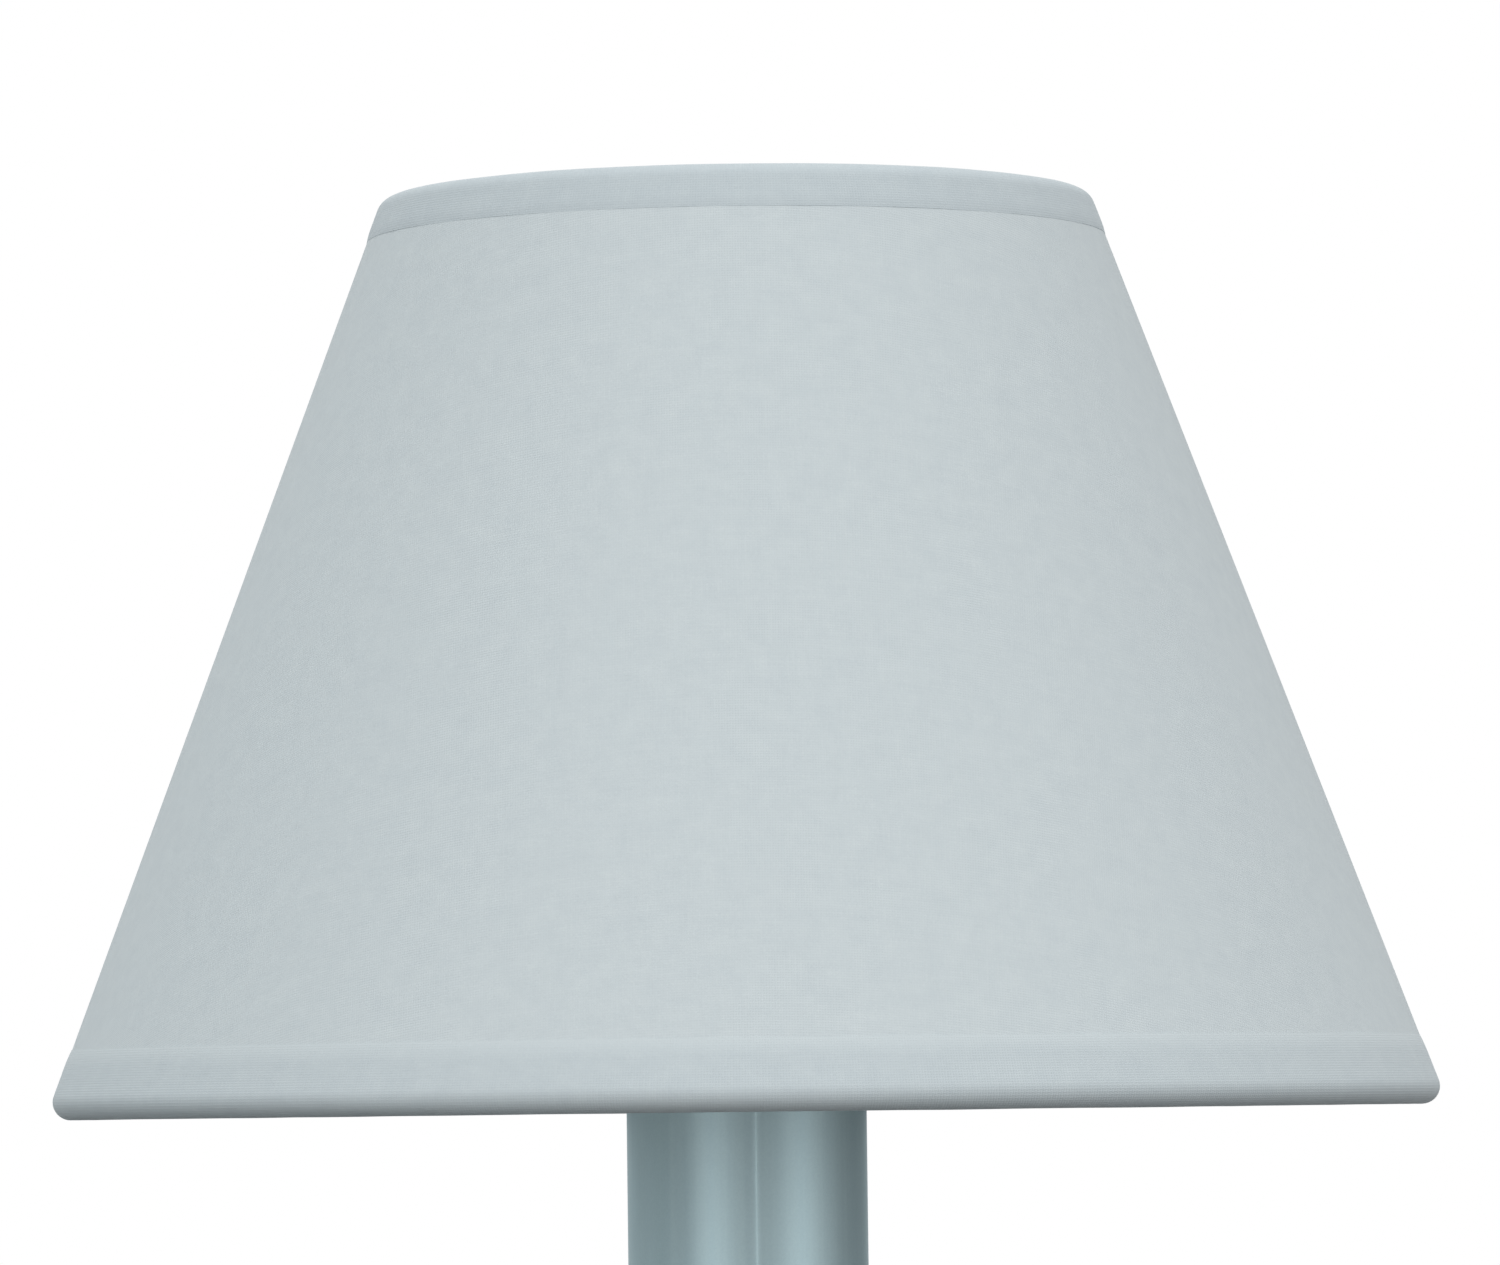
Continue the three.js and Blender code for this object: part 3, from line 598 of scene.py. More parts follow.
def bright_metal(name, base, roughness, tarnish, grain=(900, 900, 60)):
    """Bare or plated metal with fine lines and a little tarnish."""
    f = Finish(name)
    lines = f.noise(f.place(grain), scale=1.0, detail=3.0, roughness=0.6)
    cloud = f.noise(f.place(), scale=160.0, detail=4.0, roughness=0.6)
    mixed = f.weighed(lines, 0.4, cloud)
    metal = f.blend(f.span(mixed, 0.0, 1.0), tone(base, 1.0 - tarnish), tone(base, 1.0 + 0.5 * tarnish))
    f.surface({"Base Color": metal, "Metallic": 1.0,
               "Roughness": f.span(mixed, roughness * 1.3, roughness * 0.8)})
    f.bump(lines, strength=0.12, distance=0.03 * MM)
    return f.material


def moulded_plastic(name, base):
    f = Finish(name)
    cloud = f.noise(f.place(), scale=90.0)
    grain = f.noise(f.place(), scale=3000.0)
    body = f.blend(f.span(cloud, 0.0, 1.0), tone(base, 0.95), tone(base, 1.03, (1.0, 0.99, 0.97)))
    f.surface({"Base Color": body, "Roughness": f.span(grain, 0.38, 0.52)})
    f.bump(grain, strength=0.15, distance=0.03 * MM)
    return f.material


def clear_glass(name):
    """Blown glass with a faint waviness and a few smears."""
    f = Finish(name)
    smear = f.noise(f.place((1, 1, 3)), scale=70.0, detail=3.0)
    ripple = f.noise(f.place(), scale=60.0, detail=1.0)
    f.surface({"Base Color": f.blend(f.span(smear, 0.0, 1.0), (0.985, 0.99, 0.99, 1), WHITE),
               "Roughness": f.span(smear, 0.015, 0.045), "Transmission Weight": 1.0, "IOR": 1.45})
    f.bump(ripple, strength=0.06, distance=0.2 * MM)
    return f.material


finishes = {}


def finish(name):
    """The named finish, made once from the colours in the settings."""
    if name not in finishes:
        colours, shade = options().colours, options().shade
        hem = [0.7 * tape + 0.3 * cloth for tape, cloth in zip(colours.tape, colours.shade)]
        fade = (0.72 * shade.bottom_tape, 1.02 * shade.bottom_tape, colours.shade)   # near its free edge
        makers = {
            "shade_cloth": lambda: woven_cloth(name, colours.shade, shade.thread),
            "tape_cloth": lambda: woven_cloth(name, colours.tape, shade.thread),
            "hem_cloth": lambda: woven_cloth(name, hem, shade.thread, fade),
            "shade_lining": lambda: stiff_lining(name, colours.lining),
            "satin_paint": lambda: satin_paint(name, colours.paint),
            "satin_paint_drawn": lambda: satin_paint(name, colours.paint, drawn=True),
            "bright_wire": lambda: bright_metal(name, colours.wire, 0.28, 0.10, (500, 500, 500)),
            "brass": lambda: bright_metal(name, colours.brass, 0.30, 0.16),
            "plated_steel": lambda: bright_metal(name, colours.steel, 0.36, 0.12, (260, 260, 260)),
            "filament_wire": lambda: bright_metal(name, (0.33, 0.31, 0.29), 0.45, 0.2, (900, 900, 900)),
            "white_plastic": lambda: moulded_plastic(name, colours.plastic),
            "clear_glass": lambda: clear_glass(name),
        }
        finishes[name] = makers[name]()
    return finishes[name]


# Shade


class ShadeForm:
    """The shade's cone, in metres, with heights above its bottom edge."""

    tape_wall = 0.30 * MM
    wire_radius = 1.1 * MM
    wire_inset = 1.9 * MM   # from the tapes' faces to the middle of the wire rings
    cover_inset = 0.15 * MM   # from the tapes' faces to the cover's face
    cover_wall = 0.45 * MM
    cover_end = 3.0 * MM   # from the shade's edges to the cover's
    turn_in = 4.0 * MM   # length of a tape's leg inside the shade

    def __init__(self):
        sizes = options().shade
        self.bottom, self.top, self.height = sizes.bottom_radius, sizes.top_radius, sizes.height
        self.slope = (self.bottom - self.top) / self.height
        self.lean = math.atan(self.slope)
        self.low_ring, self.high_ring = self.wire_inset, self.height - self.wire_inset
        self.cover_low, self.cover_high = self.cover_end, self.height - self.cover_end

    def radius(self, height):
        return self.bottom - self.slope * height

    def cover_radius(self, height):
        return self.radius(height) - self.cover_inset

    def ring_radius(self, height):
        return self.radius(height) - self.wire_inset

    def cut_radius(self, radius):
        """Distance from the cone's point on the flat cloth."""
        return radius / math.sin(self.lean)

    def flat_cut(self):
        """Width, length and area of the cover's flat cut, a part of a ring."""
        outer = self.cut_radius(self.cover_radius(self.cover_low))
        inner = self.cut_radius(self.cover_radius(self.cover_high))
        half_angle = math.pi * math.sin(self.lean)
        width = 2 * outer * math.sin(min(half_angle, math.pi / 2))
        length = outer - inner * math.cos(half_angle)
        return width, length, half_angle * (outer ** 2 - inner ** 2)


def set_cut(piece, place):
    """Writes the UV map "cut": place gives a point on the flat cloth from a vertex and its face's middle."""
    mesh = piece.data
    layer = mesh.uv_layers[0] if mesh.uv_layers else mesh.uv_layers.new()
    layer.name = "cut"
    flat = np.zeros((len(mesh.loops), 2), np.float32)
    for face in mesh.polygons:
        for loop in face.loop_indices:
            flat[loop] = place(mesh.vertices[mesh.loops[loop].vertex_index].co, face.center)
    layer.data.foreach_set("uv", flat.ravel())


def angle_from_front(point, near):
    """Angle of a point round the shade from its front, on the same side of the back seam as near."""
    angle = math.atan2(point.x, -point.y)
    middle = math.atan2(near.x, -near.y)
    if angle - middle > math.pi:
        return angle - 2 * math.pi
    if angle - middle < -math.pi:
        return angle + 2 * math.pi
    return angle


class CHANDELIER_OT_shade_covers(bpy.types.Operator):
    """Makes the cone of cloth on stiff lining of each shade, with its lapped seam at the back"""

    bl_idname = "chandelier.shade_covers"
    bl_label = "Shade covers"

    columns = 192
    rows = 16
    lap_columns = 5
    lap_wall = 0.22 * MM
    lap_under_tape = 1.5 * MM
    lap_sink = 0.97   # of the lap's wall, where it runs out
    lap_line = 0.01   # radians to either side of the line where it runs out

    def execute(self, context):
        form = ShadeForm()
        low, high = form.cover_low, form.cover_high
        cover = add(bpy.ops.mesh.primitive_cone_add, "shade_cloth", vertices=self.columns,
                    radius1=form.cover_radius(low), radius2=form.cover_radius(high), depth=high - low,
                    end_fill_type="NOTHING", location=(0, 0, RIM + (low + high) / 2))
        enter_edit()
        for row in range(1, self.rows):
            bpy.ops.mesh.select_all(action="SELECT")
            at = RIM + low + (high - low) * row / self.rows
            bpy.ops.mesh.bisect(plane_co=(0, 0, at), plane_no=(0, 0, 1))
        leave_edit()

        def on_flat_cloth(point, near):
            angle = angle_from_front(point, near) * math.sin(form.lean)
            reach = form.cut_radius(math.hypot(point.x, point.y))
            return reach * math.sin(angle), -reach * math.cos(angle)

        set_cut(cover, on_flat_cloth)
        paint(cover, "shade_cloth", "shade_lining")
        apply_modifier(cover, "SOLIDIFY", thickness=form.cover_wall, offset=-1.0, use_even_offset=True,
                       material_offset=1, material_offset_rim=1)
        self.lap_seam(cover, form)
        smooth(cover)
        set_on_lights(cover, "shade_cover", "light_{}_shade")
        return {"FINISHED"}

    def lap_seam(self, cover, form):
        """Raises a band of the cloth at the back, sharp along one side and run out at the other."""
        width = 2 * math.pi * self.lap_columns / self.columns
        sizes = options().shade
        lowest = RIM + sizes.bottom_tape - self.lap_under_tape
        highest = RIM + form.height - sizes.top_tape + self.lap_under_tape

        def from_back(point):
            return math.atan2(-point.x, point.y)

        def on_lap(face):
            outside = face.normal.x * face.center.x + face.normal.y * face.center.y > 0
            return outside and 0 < from_back(face.center) < width and lowest < face.center.z < highest

        def on_run_out(vertex):
            proud = math.hypot(vertex.co.x, vertex.co.y) - form.cover_radius(vertex.co.z - RIM)
            return proud > 0.5 * self.lap_wall and abs(from_back(vertex.co) - width) < self.lap_line

        pick(cover, "FACE", on_lap)
        bpy.ops.mesh.extrude_region_shrink_fatten(TRANSFORM_OT_shrink_fatten={"value": self.lap_wall})
        pick(cover, "VERT", on_run_out)
        sink = self.lap_sink * self.lap_wall
        bpy.ops.transform.translate(value=(sink * math.sin(width), -sink * math.cos(width), 0))
        leave_edit()


class CHANDELIER_OT_shade_wires(bpy.types.Operator):
    """Makes the shades' wire rings, the top one with the cross wire that the clip hangs on"""

    bl_idname = "chandelier.shade_wires"
    bl_label = "Shade wires"

    ring_columns = 144
    butt_half_width = 0.9 * MM
    butt_swelling = 0.12 * MM
    bead_radius = 1.28 * MM
    bead_shape = (1.0, 0.9, 0.95)
    end_gap = 0.6 * MM   # from the cross wire's full thickness to the middle of the ring
    end_inset = 0.2 * MM
    end_nose = 0.4 * MM

    def execute(self, context):
        form = ShadeForm()
        reach = form.ring_radius(form.high_ring)
        top = self.ring("shade_top_wire", form, form.high_ring)
        cross = self.cross_wire(form, reach)
        top = join(top, cross, *[self.bead(form, side * reach) for side in (-1, 1)])
        set_on_lights(paint(top, "bright_wire"), "shade_top_frame", "light_{}_shade")
        bottom = self.ring("shade_bottom_wire", form, form.low_ring)
        set_on_lights(paint(bottom, "bright_wire"), "shade_bottom_ring", "light_{}_shade")
        return {"FINISHED"}

    def ring(self, name, form, height):
        """A wire bent into a ring, with the swelling of its butt weld at the back."""
        ring = add(bpy.ops.mesh.primitive_torus_add, name, major_radius=form.ring_radius(height),
                   minor_radius=form.wire_radius, major_segments=self.ring_columns, minor_segments=14,
                   location=(0, 0, RIM + height))
        pick(ring, "VERT", lambda v: v.co.y > 0 and abs(v.co.x) < self.butt_half_width)
        bpy.ops.transform.shrink_fatten(value=self.butt_swelling)
        leave_edit()
        smooth(ring)
        return ring

    def cross_wire(self, form, reach):
        """A straight wire across the top ring, with a nose at each end."""
        cross = round_bar("cross_wire", form.wire_radius, 2 * (reach - self.end_gap),
                          (0, 0, RIM + form.high_ring), "Y", 16)
        pick(cross, "FACE", lambda face: abs(face.normal.y) > 0.9)
        bpy.ops.mesh.inset(thickness=self.end_inset, use_individual=True)
        bpy.ops.mesh.extrude_region_shrink_fatten(TRANSFORM_OT_shrink_fatten={"value": self.end_nose})
        leave_edit()
        smooth(cross)
        return cross

    def bead(self, form, y):
        """The bead of weld where the cross wire meets the ring."""
        bead = add(bpy.ops.mesh.primitive_ico_sphere_add, "weld_bead", subdivisions=3,
                   radius=self.bead_radius, location=(0, y, RIM + form.high_ring), scale=self.bead_shape)
        smooth(bead)
        return bead


class CHANDELIER_OT_shade_tapes(bpy.types.Operator):
    bl_idname = "chandelier.shade_tapes"
    bl_label = "Shade tapes"

    columns = 192
    fold_steps = 18
    leg_steps = 8
    dip_steps = 3
    turn_in_steps = 5
    top_dip = 0.115   # millimetres that a free end is pressed in towards the cover
    bottom_dip = 0.12
    notch_depth = 0.6 * MM   # from the middle of the ring inwards, to clear the cross wire
    notch_half_width = 1.75 * MM
    ripple_size = 9 * MM
    unevenness = 0.08 * MM

    def execute(self, context):
        form = ShadeForm()
        sizes = options().shade
        top = self.tape("shade_top_tape", form, 1, form.height - sizes.top_tape, self.top_dip)
        bottom = self.tape("shade_bottom_tape", form, -1, sizes.bottom_tape, self.bottom_dip)
        paint(top, "tape_cloth")
        paint(bottom, "hem_cloth")
        tops = set_on_lights(top, "shade_top_trim", "light_{}_shade")
        bottoms = set_on_lights(bottom, "shade_bottom_trim", "light_{}_shade")
        width, length, area = form.flat_cut()
        return {"FINISHED"}

    def fold(self, form, side, free_end, dip):
        """The tape's middle line, from its free end outside, round the wire and back inside, in millimetres.
        side is 1 for a fold over the top ring and -1 for one under the bottom ring."""
        ring = form.high_ring if side > 0 else form.low_ring
        middle = Vector((form.ring_radius(ring), ring)) / MM
        reach = (form.wire_inset * math.cos(form.lean) - form.tape_wall / 2) / MM
        along = Vector((math.sin(form.lean), -math.cos(form.lean))) * side
        round_wire = []
        for step in range(self.fold_steps + 1):
            angle = form.lean + side * math.pi * step / self.fold_steps
            round_wire.append(middle + Vector((math.cos(angle), math.sin(angle))) * reach)
        leg_length = abs(round_wire[0].y - free_end / MM) / math.cos(form.lean)
        leg = []
        for step in range(self.leg_steps):
            pressed = Vector((dip * max(0.0, 1 - step / self.dip_steps) ** 2, 0))
            leg.append(round_wire[0] + along * leg_length * (1 - step / self.leg_steps) - pressed)
        inside = [round_wire[-1] + along * form.turn_in / MM * step / self.turn_in_steps
                  for step in range(1, self.turn_in_steps + 1)]
        return [tuple(point) for point in (*leg, *round_wire, *inside)]

    def tape(self, name, form, side, free_end, dip):
        """The fold turned round the shade, cut away at the cross wire, a little uneven and with its wall."""
        line = self.fold(form, side, free_end, dip)
        piece = turn(name, line, steps=self.columns, closed=False)

        def in_notch(face):
            from_ring = math.hypot(face.center.x, face.center.y) - form.ring_radius(face.center.z - RIM)
            return side > 0 and from_ring < -self.notch_depth and abs(face.center.x) < self.notch_half_width

        pick(piece, "FACE", in_notch)
        bpy.ops.mesh.delete(type="FACE")
        leave_edit()
        ripple = bpy.data.textures.new(name + "_ripple", "CLOUDS")
        ripple.noise_scale = self.ripple_size
        apply_modifier(piece, "DISPLACE", texture=ripple, strength=self.unevenness, mid_level=0.5,
                       texture_coords="LOCAL")
        bpy.data.textures.remove(ripple)
        apply_modifier(piece, "SOLIDIFY", thickness=form.tape_wall, offset=0.0, use_even_offset=True)
        smooth(piece, 50)
        corners = np.array([(r * MM, z * MM + RIM) for r, z in line])
        runs = np.concatenate([[0.0], np.cumsum(np.linalg.norm(np.diff(corners, axis=0), axis=1))])
        start = free_end if side < 0 else 0.0
        wide = form.ring_radius(free_end)

        def on_flat_tape(point, near):
            spot = np.array((math.hypot(point.x, point.y), point.z))
            nearest = int(np.argmin(np.sum((corners - spot) ** 2, axis=1)))
            return angle_from_front(point, near) * wide, start - runs[nearest]

        set_cut(piece, on_flat_tape)
        return piece


# Bulb and clip


class BulbForm:
    """The candle bulb, in millimetres, with heights above the shade's bottom edge."""

    neck_radius = 7.4
    belly_radius = 17.5
    belly_share = 0.46   # of the height from the cap to the tip
    tip_power = 0.8   # less is blunter
    wall = 0.9

    def __init__(self):
        self.cap_bottom, self.cap_top = heights_of("bulb_cap_1")
        self.cap_radius = half_width("bulb_cap_1") / MM
        self.neck, self.tip = heights_of("bulb_glass_1")
        self.belly = self.cap_top + self.belly_share * (self.tip - self.cap_top)

    def radius(self, height):
        if height < self.belly:
            share = (self.belly - height) / (self.belly - self.cap_top)
            swelling = 0.5 + 0.5 * math.cos(math.pi * share)
            return self.neck_radius + (self.belly_radius - self.neck_radius) * swelling
        share = min(1.0, (height - self.belly) / (self.tip - self.belly))
        return self.belly_radius * (1 - share * share) ** self.tip_power


class CHANDELIER_OT_bulb_clips(bpy.types.Operator):
    """Makes the spring wire clips that grip the bulbs and hang the shades"""

    bl_idname = "chandelier.bulb_clips"
    bl_label = "Bulb clips"

    wire = 0.8
    stand_off = 1.25
    loop_half_height = 16.0
    loop_half_angle = math.radians(48)
    loop_steps = 64
    leg_steps = 6
    eye_radius = 2.35
    eye_at = 8.0
    eye_steps = 32

    def execute(self, context):
        bulb = BulbForm()
        cross = RIM + ShadeForm().high_ring
        bridge = [Vector((self.eye_radius * MM, y * MM, cross)) for y in (-self.eye_at, self.eye_at)]
        clip = join(*self.half(bulb, cross, 1), *self.half(bulb, cross, -1),
                    bend("bridge", bridge, self.wire * MM))
        clip.name = "clip_wire"
        set_on_lights(paint(clip, "bright_wire"), "bulb_clip", "light_{}_clip")
        return {"FINISHED"}

    def half(self, bulb, cross, side):
        """The loop on one side of the bulb, the eye on the cross wire and the leg between them."""
        def on_bulb(angle, height):
            radius = (bulb.radius(height) + self.stand_off) * MM
            return Vector((radius * math.sin(angle), side * radius * math.cos(angle), RIM + height * MM))

        def round_turn(steps):
            return [2 * math.pi * step / steps for step in range(steps)]

        loop = [on_bulb(self.loop_half_angle * math.sin(t), bulb.belly + self.loop_half_height * math.cos(t))
                for t in round_turn(self.loop_steps)]
        eye_middle = Vector((0, side * self.eye_at * MM, cross))
        eye = [eye_middle + Vector((math.sin(t), 0, -math.cos(t))) * self.eye_radius * MM
               for t in round_turn(self.eye_steps)]
        leg = [loop[0].lerp(eye[0], step / self.leg_steps) for step in range(self.leg_steps + 1)]
        return [bend("loop", loop, self.wire * MM, closed=True), bend("leg", leg, self.wire * MM),
                bend("eye", eye, self.wire * MM, closed=True)]


class CHANDELIER_OT_bulbs(bpy.types.Operator):
    """Makes the candle bulbs: the glass, the filament on its stem, and the screw cap"""

    bl_idname = "chandelier.bulbs"
    bl_label = "Bulbs"

    glass_rows = 36
    least_radius = 0.3   # of the glass inside, next to the point at its tip
    lead_radius = 0.2
    coil_wire = 0.11
    coil_turns = 22
    coil_turn_steps = 10
    coil_radius = 0.6
    coil_half_length = 5.4
    coil_height = 54.0
    coil_rise = 4.0
    cap_thread = (0.75, 2.82)   # depth and pitch
    cap_plain = 3.6   # below and above the thread

    def execute(self, context):
        form = BulbForm()
        set_on_lights(paint(self.glass(form), "clear_glass"), "bulb_glass", "light_{}_bulb")
        set_on_lights(self.filament(), None, "light_{}_bulb")
        set_on_lights(paint(self.cap(form), "brass"), "bulb_cap", "light_{}_bulb")
        return {"FINISHED"}

    def glass(self, form):
        def heights(top):
            return [form.neck + (top - form.neck) * math.sin(math.pi / 2 * step / self.glass_rows)
                    for step in range(self.glass_rows + 1)]

        inner_tip = form.tip - 2 * form.wall
        inside = [(form.radius(z) - form.wall, z) for z in heights(inner_tip)]
        inside = [p for p in inside if p[0] > self.least_radius] + [(0.0, inner_tip)]
        outside = [(form.radius(z), z) for z in heights(form.tip)[:-1]] + [(0.0, form.tip)]
        return turn("bulb_envelope", [*reversed(inside), *outside], steps=72, closed=False)

    def filament(self):
        """A glass stem, two lead wires and a coiled filament between them."""
        outline = [(0.0, 13.9), (3.4, 13.9), (3.2, 17.0), (1.7, 22.0), (1.5, 33.0), (2.3, 35.2), (1.6, 37.0),
                   (0.0, 37.4)]
        stem = turn("bulb_filament", eased(outline, 0.5, closed=False), steps=24, closed=False)
        lead = [(0.9, 36.0), (2.0, 42.0), (5.0, 50.0), (self.coil_half_length, self.coil_height)]
        wires = []
        for side in (-1, 1):
            path = curve([(x * side, z) for x, z in lead])
            wires.append(bend("lead", upright(path), self.lead_radius * MM, roundness=1))
        steps = self.coil_turns * self.coil_turn_steps
        coil = []
        for step in range(steps + 1):
            share = step / steps
            angle = 2 * math.pi * self.coil_turns * share
            height = self.coil_height + self.coil_rise * math.sin(math.pi * share)
            coil.append(Vector((self.coil_half_length * (2 * share - 1) * MM,
                                self.coil_radius * math.cos(angle) * MM,
                                RIM + (height + self.coil_radius * math.sin(angle)) * MM)))
        wires.append(bend("coil", coil, self.coil_wire * MM, roundness=0))
        return join(paint(stem, "clear_glass"), *[paint(wire, "filament_wire") for wire in wires])

    def cap(self, form):
        """The screw shell, with its solder button at the foot."""
        low, high, radius = form.cap_bottom, form.cap_top, form.cap_radius
        depth, pitch = self.cap_thread
        ridges = thread_outline(radius, depth, low + self.cap_plain, high - self.cap_plain, pitch)
        button = [(0.0, low), (2.4, low), (3.2, low + 0.7), (3.2, low + 1.2)]
        rim = [(radius - 0.8, high - 3.2), (radius, high - 1.6), (radius, high), (0.0, high)]
        outline = [*button, (5.6, low + 2.6), (6.1, low + 3.2), *ridges, *rim]
        return turn("bulb_cap_shell", eased(outline, 0.6, closed=False), steps=48, closed=False)


# Candle


class CHANDELIER_OT_candle_tubes(bpy.types.Operator):
    """Makes the painted candle tubes, rolled from sheet with a fine seam along the front"""

    bl_idname = "chandelier.candle_tubes"
    bl_label = "Candle tubes"

    wall = 0.8
    rows = 12
    seam_from_front = math.radians(4.2)
    seam_half_width = 0.10 * MM
    seam_rise = 0.04 * MM
    seam_near = 0.05 * MM   # an edge is the seam's if both ends are nearer than this
    crest_near = 0.04 * MM   # to either side of the seam's middle
    skin = 0.3 * MM   # points deeper than this are inside the tube

    def execute(self, context):
        radius = options().metal.tube_radius / MM
        height = height_of("candle_sleeve_1") / MM
        inside = radius - self.wall
        outside = [(radius, height * row / self.rows) for row in range(self.rows + 1)]
        outline = eased([(inside, 0.0), *outside, (inside, height)], 0.3)
        tube = turn("candle_tube", outline, foot_of("candle_sleeve_1"), steps=128,
                    start=-math.pi / 2 + self.seam_from_front)
        self.seam(tube, radius * MM)
        smooth(tube, 30)
        set_on_lights(paint(tube, "satin_paint_drawn"), "candle_sleeve", "light_{}_sleeve")
        return {"FINISHED"}

    def seam(self, tube, radius):
        """Splits one line along the tube into a narrow band, and raises the band's middle."""
        out = Vector((math.sin(self.seam_from_front), -math.cos(self.seam_from_front)))
        across = Vector((out.y, -out.x))

        def along_seam(edge):
            ends = [tube.data.vertices[v].co for v in edge.vertices]
            stands = abs(ends[0].z - ends[1].z) > 0.01 * MM
            return stands and all((end.xy - out * radius).length < self.seam_near for end in ends)

        def on_crest(vertex):
            flat = vertex.co.xy
            outside = flat.length > radius - self.skin
            return outside and flat.dot(out) > 0 and abs(flat.dot(across)) < self.crest_near

        pick(tube, "EDGE", along_seam)
        bpy.ops.mesh.bevel(offset=self.seam_half_width, segments=2, affect="EDGES", clamp_overlap=True)
        pick(tube, "VERT", on_crest)
        bpy.ops.transform.translate(value=(out.x * self.seam_rise, out.y * self.seam_rise, 0))
        leave_edit()


class CHANDELIER_OT_lampholders(bpy.types.Operator):
    """Makes the lampholders inside the tubes, with their threaded pipes and nuts"""

    bl_idname = "chandelier.lampholders"
    bl_label = "Lampholders"

    pipe_thread = (0.42, 1.0)   # depth and pitch
    pipe_plain = 0.3   # below and above the thread
    nut_across_flats = 14.0
    nut_bore = 5.15

    def execute(self, context):
        set_on_lights(paint(self.holder(), "white_plastic"), "lampholder", "frame")
        set_on_lights(paint(self.pipe(), "plated_steel"), "nipple", "frame")
        nut = hexagon_nut("pan_locknut", "pan_nut_1", self.nut_across_flats, self.nut_bore)
        set_on_lights(paint(nut, "brass"), "pan_nut", "frame")
        return {"FINISHED"}

    def holder(self):
        outside = [(5.3, 0.0), (9.3, 0.0), (10.75, 1.6), (10.75, 14.0), (10.0, 14.8), (10.0, 40.5),
                   (10.75, 41.3), (10.75, 45.6), (10.3, 46.1), (10.3, 46.9), (10.75, 47.4), (10.75, 50.0)]
        socket = [(7.9, 50.0), (7.4, 49.0), (7.4, 26.8), (7.4, 26.0), (3.6, 26.0), (3.6, 8.3), (5.3, 8.3)]
        return turn("lampholder_body", eased(outside + socket, 0.5), foot_of("lampholder_1"), steps=64)

    def pipe(self):
        radius, height = half_width("nipple_1") / MM, height_of("nipple_1") / MM
        depth, pitch = self.pipe_thread
        ridges = thread_outline(radius, depth, self.pipe_plain, height - self.pipe_plain, pitch)
        outline = [(3.6, 0.0), (4.5, 0.0), *ridges, (4.5, height), (3.6, height)]
        return turn("threaded_pipe", outline, foot_of("nipple_1"), steps=32)


class CHANDELIER_OT_drip_pans(bpy.types.Operator):
    """Makes the saucers under the candles, and the turned cups that carry them on the arms"""

    bl_idname = "chandelier.drip_pans"
    bl_label = "Drip pans and cups"

    def execute(self, context):
        pan = turn("saucer", eased(self.pan(), 0.3), foot_of("drip_pan_1"), steps=112)
        set_on_lights(paint(pan, "satin_paint"), "drip_pan", "frame")
        cup = turn("turned_cup", eased(self.cup(), 0.45), foot_of("arm_cup_1"), steps=80)
        set_on_lights(paint(cup, "satin_paint"), "arm_cup", "frame")
        return {"FINISHED"}

    def pan(self):
        under = curve([(14.0, 0.0), (18.6, 0.5), (22.9, 2.3), (25.2, 4.4), (26.1, 5.6)])
        bead = arc((26.45, 6.35), 0.85, -80, 195, 14)
        inside = curve([(25.2, 5.5), (22.2, 3.2), (18.3, 1.6), (13.8, 1.2)])
        return [(5.3, 0.0), *under, *bead, *inside, (5.3, 1.2)]

    def cup(self):
        ring = arc((7.6, 7.0), 1.9, -70, 70)
        bell = curve([(7.8, 9.2), (8.2, 12.4), (9.7, 16.4), (11.6, 19.6)])
        bore = [(5.3, 24.0), (5.3, 12.7), (4.3, 12.7), (4.3, 10.3), (5.7, 10.3)]
        return [(5.7, 0.0), (7.8, 0.0), (7.8, 4.7), *ring, (7.8, 9.2), *bell, (11.6, 20.4), (13.0, 21.2),
                (13.0, 24.0), *bore]


class CHANDELIER_OT_arms(bpy.types.Operator):
    """Makes the bent arms from the hub to the cups"""

    bl_idname = "chandelier.arms"
    bl_label = "Arms"

    start = 13.0   # millimetres from the stem's axis, as the next two are
    straight = 25.0
    bend_start = 37.0
    hub_height = -112.0   # millimetres above the shades' bottom edge, as the next three are
    lowest = -165.0
    rise_end = -110.8
    top = -88.8
    lowest_share = 0.56   # of the way from the bend's start to the light
    down_ease = 0.52
    up_ease = 0.58

    def execute(self, context):
        reach = light_axis(1).length / MM
        lowest_at = self.bend_start + self.lowest_share * (reach - self.bend_start)
        ease = self.down_ease * (lowest_at - self.bend_start)
        down = [(self.bend_start, self.hub_height), (self.bend_start + ease, self.hub_height),
                (lowest_at - ease, self.lowest), (lowest_at, self.lowest)]
        up = [(lowest_at, self.lowest), (lowest_at + self.up_ease * (reach - lowest_at), self.lowest),
              (reach, self.rise_end + self.up_ease * (self.lowest - self.rise_end)), (reach, self.rise_end)]
        path = [(self.start, self.hub_height), (self.straight, self.hub_height), *self.sweep(down),
                *self.sweep(up)[1:], (reach, (self.rise_end + self.top) / 2), (reach, self.top)]
        arm = bend("arm_tube", upright(path), options().metal.arm_radius, roundness=10)
        set_on_lights(paint(arm, "satin_paint"), "arm", "frame", turned=True)
        return {"FINISHED"}

    def sweep(self, corners, steps=40):
        """Points on a bend from the first corner to the last, drawn towards the two between them."""
        a, b, c, d = [np.array(p) for p in corners]
        return [tuple((1 - t) ** 3 * a + 3 * (1 - t) ** 2 * t * b + 3 * (1 - t) * t ** 2 * c + t ** 3 * d)
                for t in np.linspace(0, 1, steps + 1)]


# Column


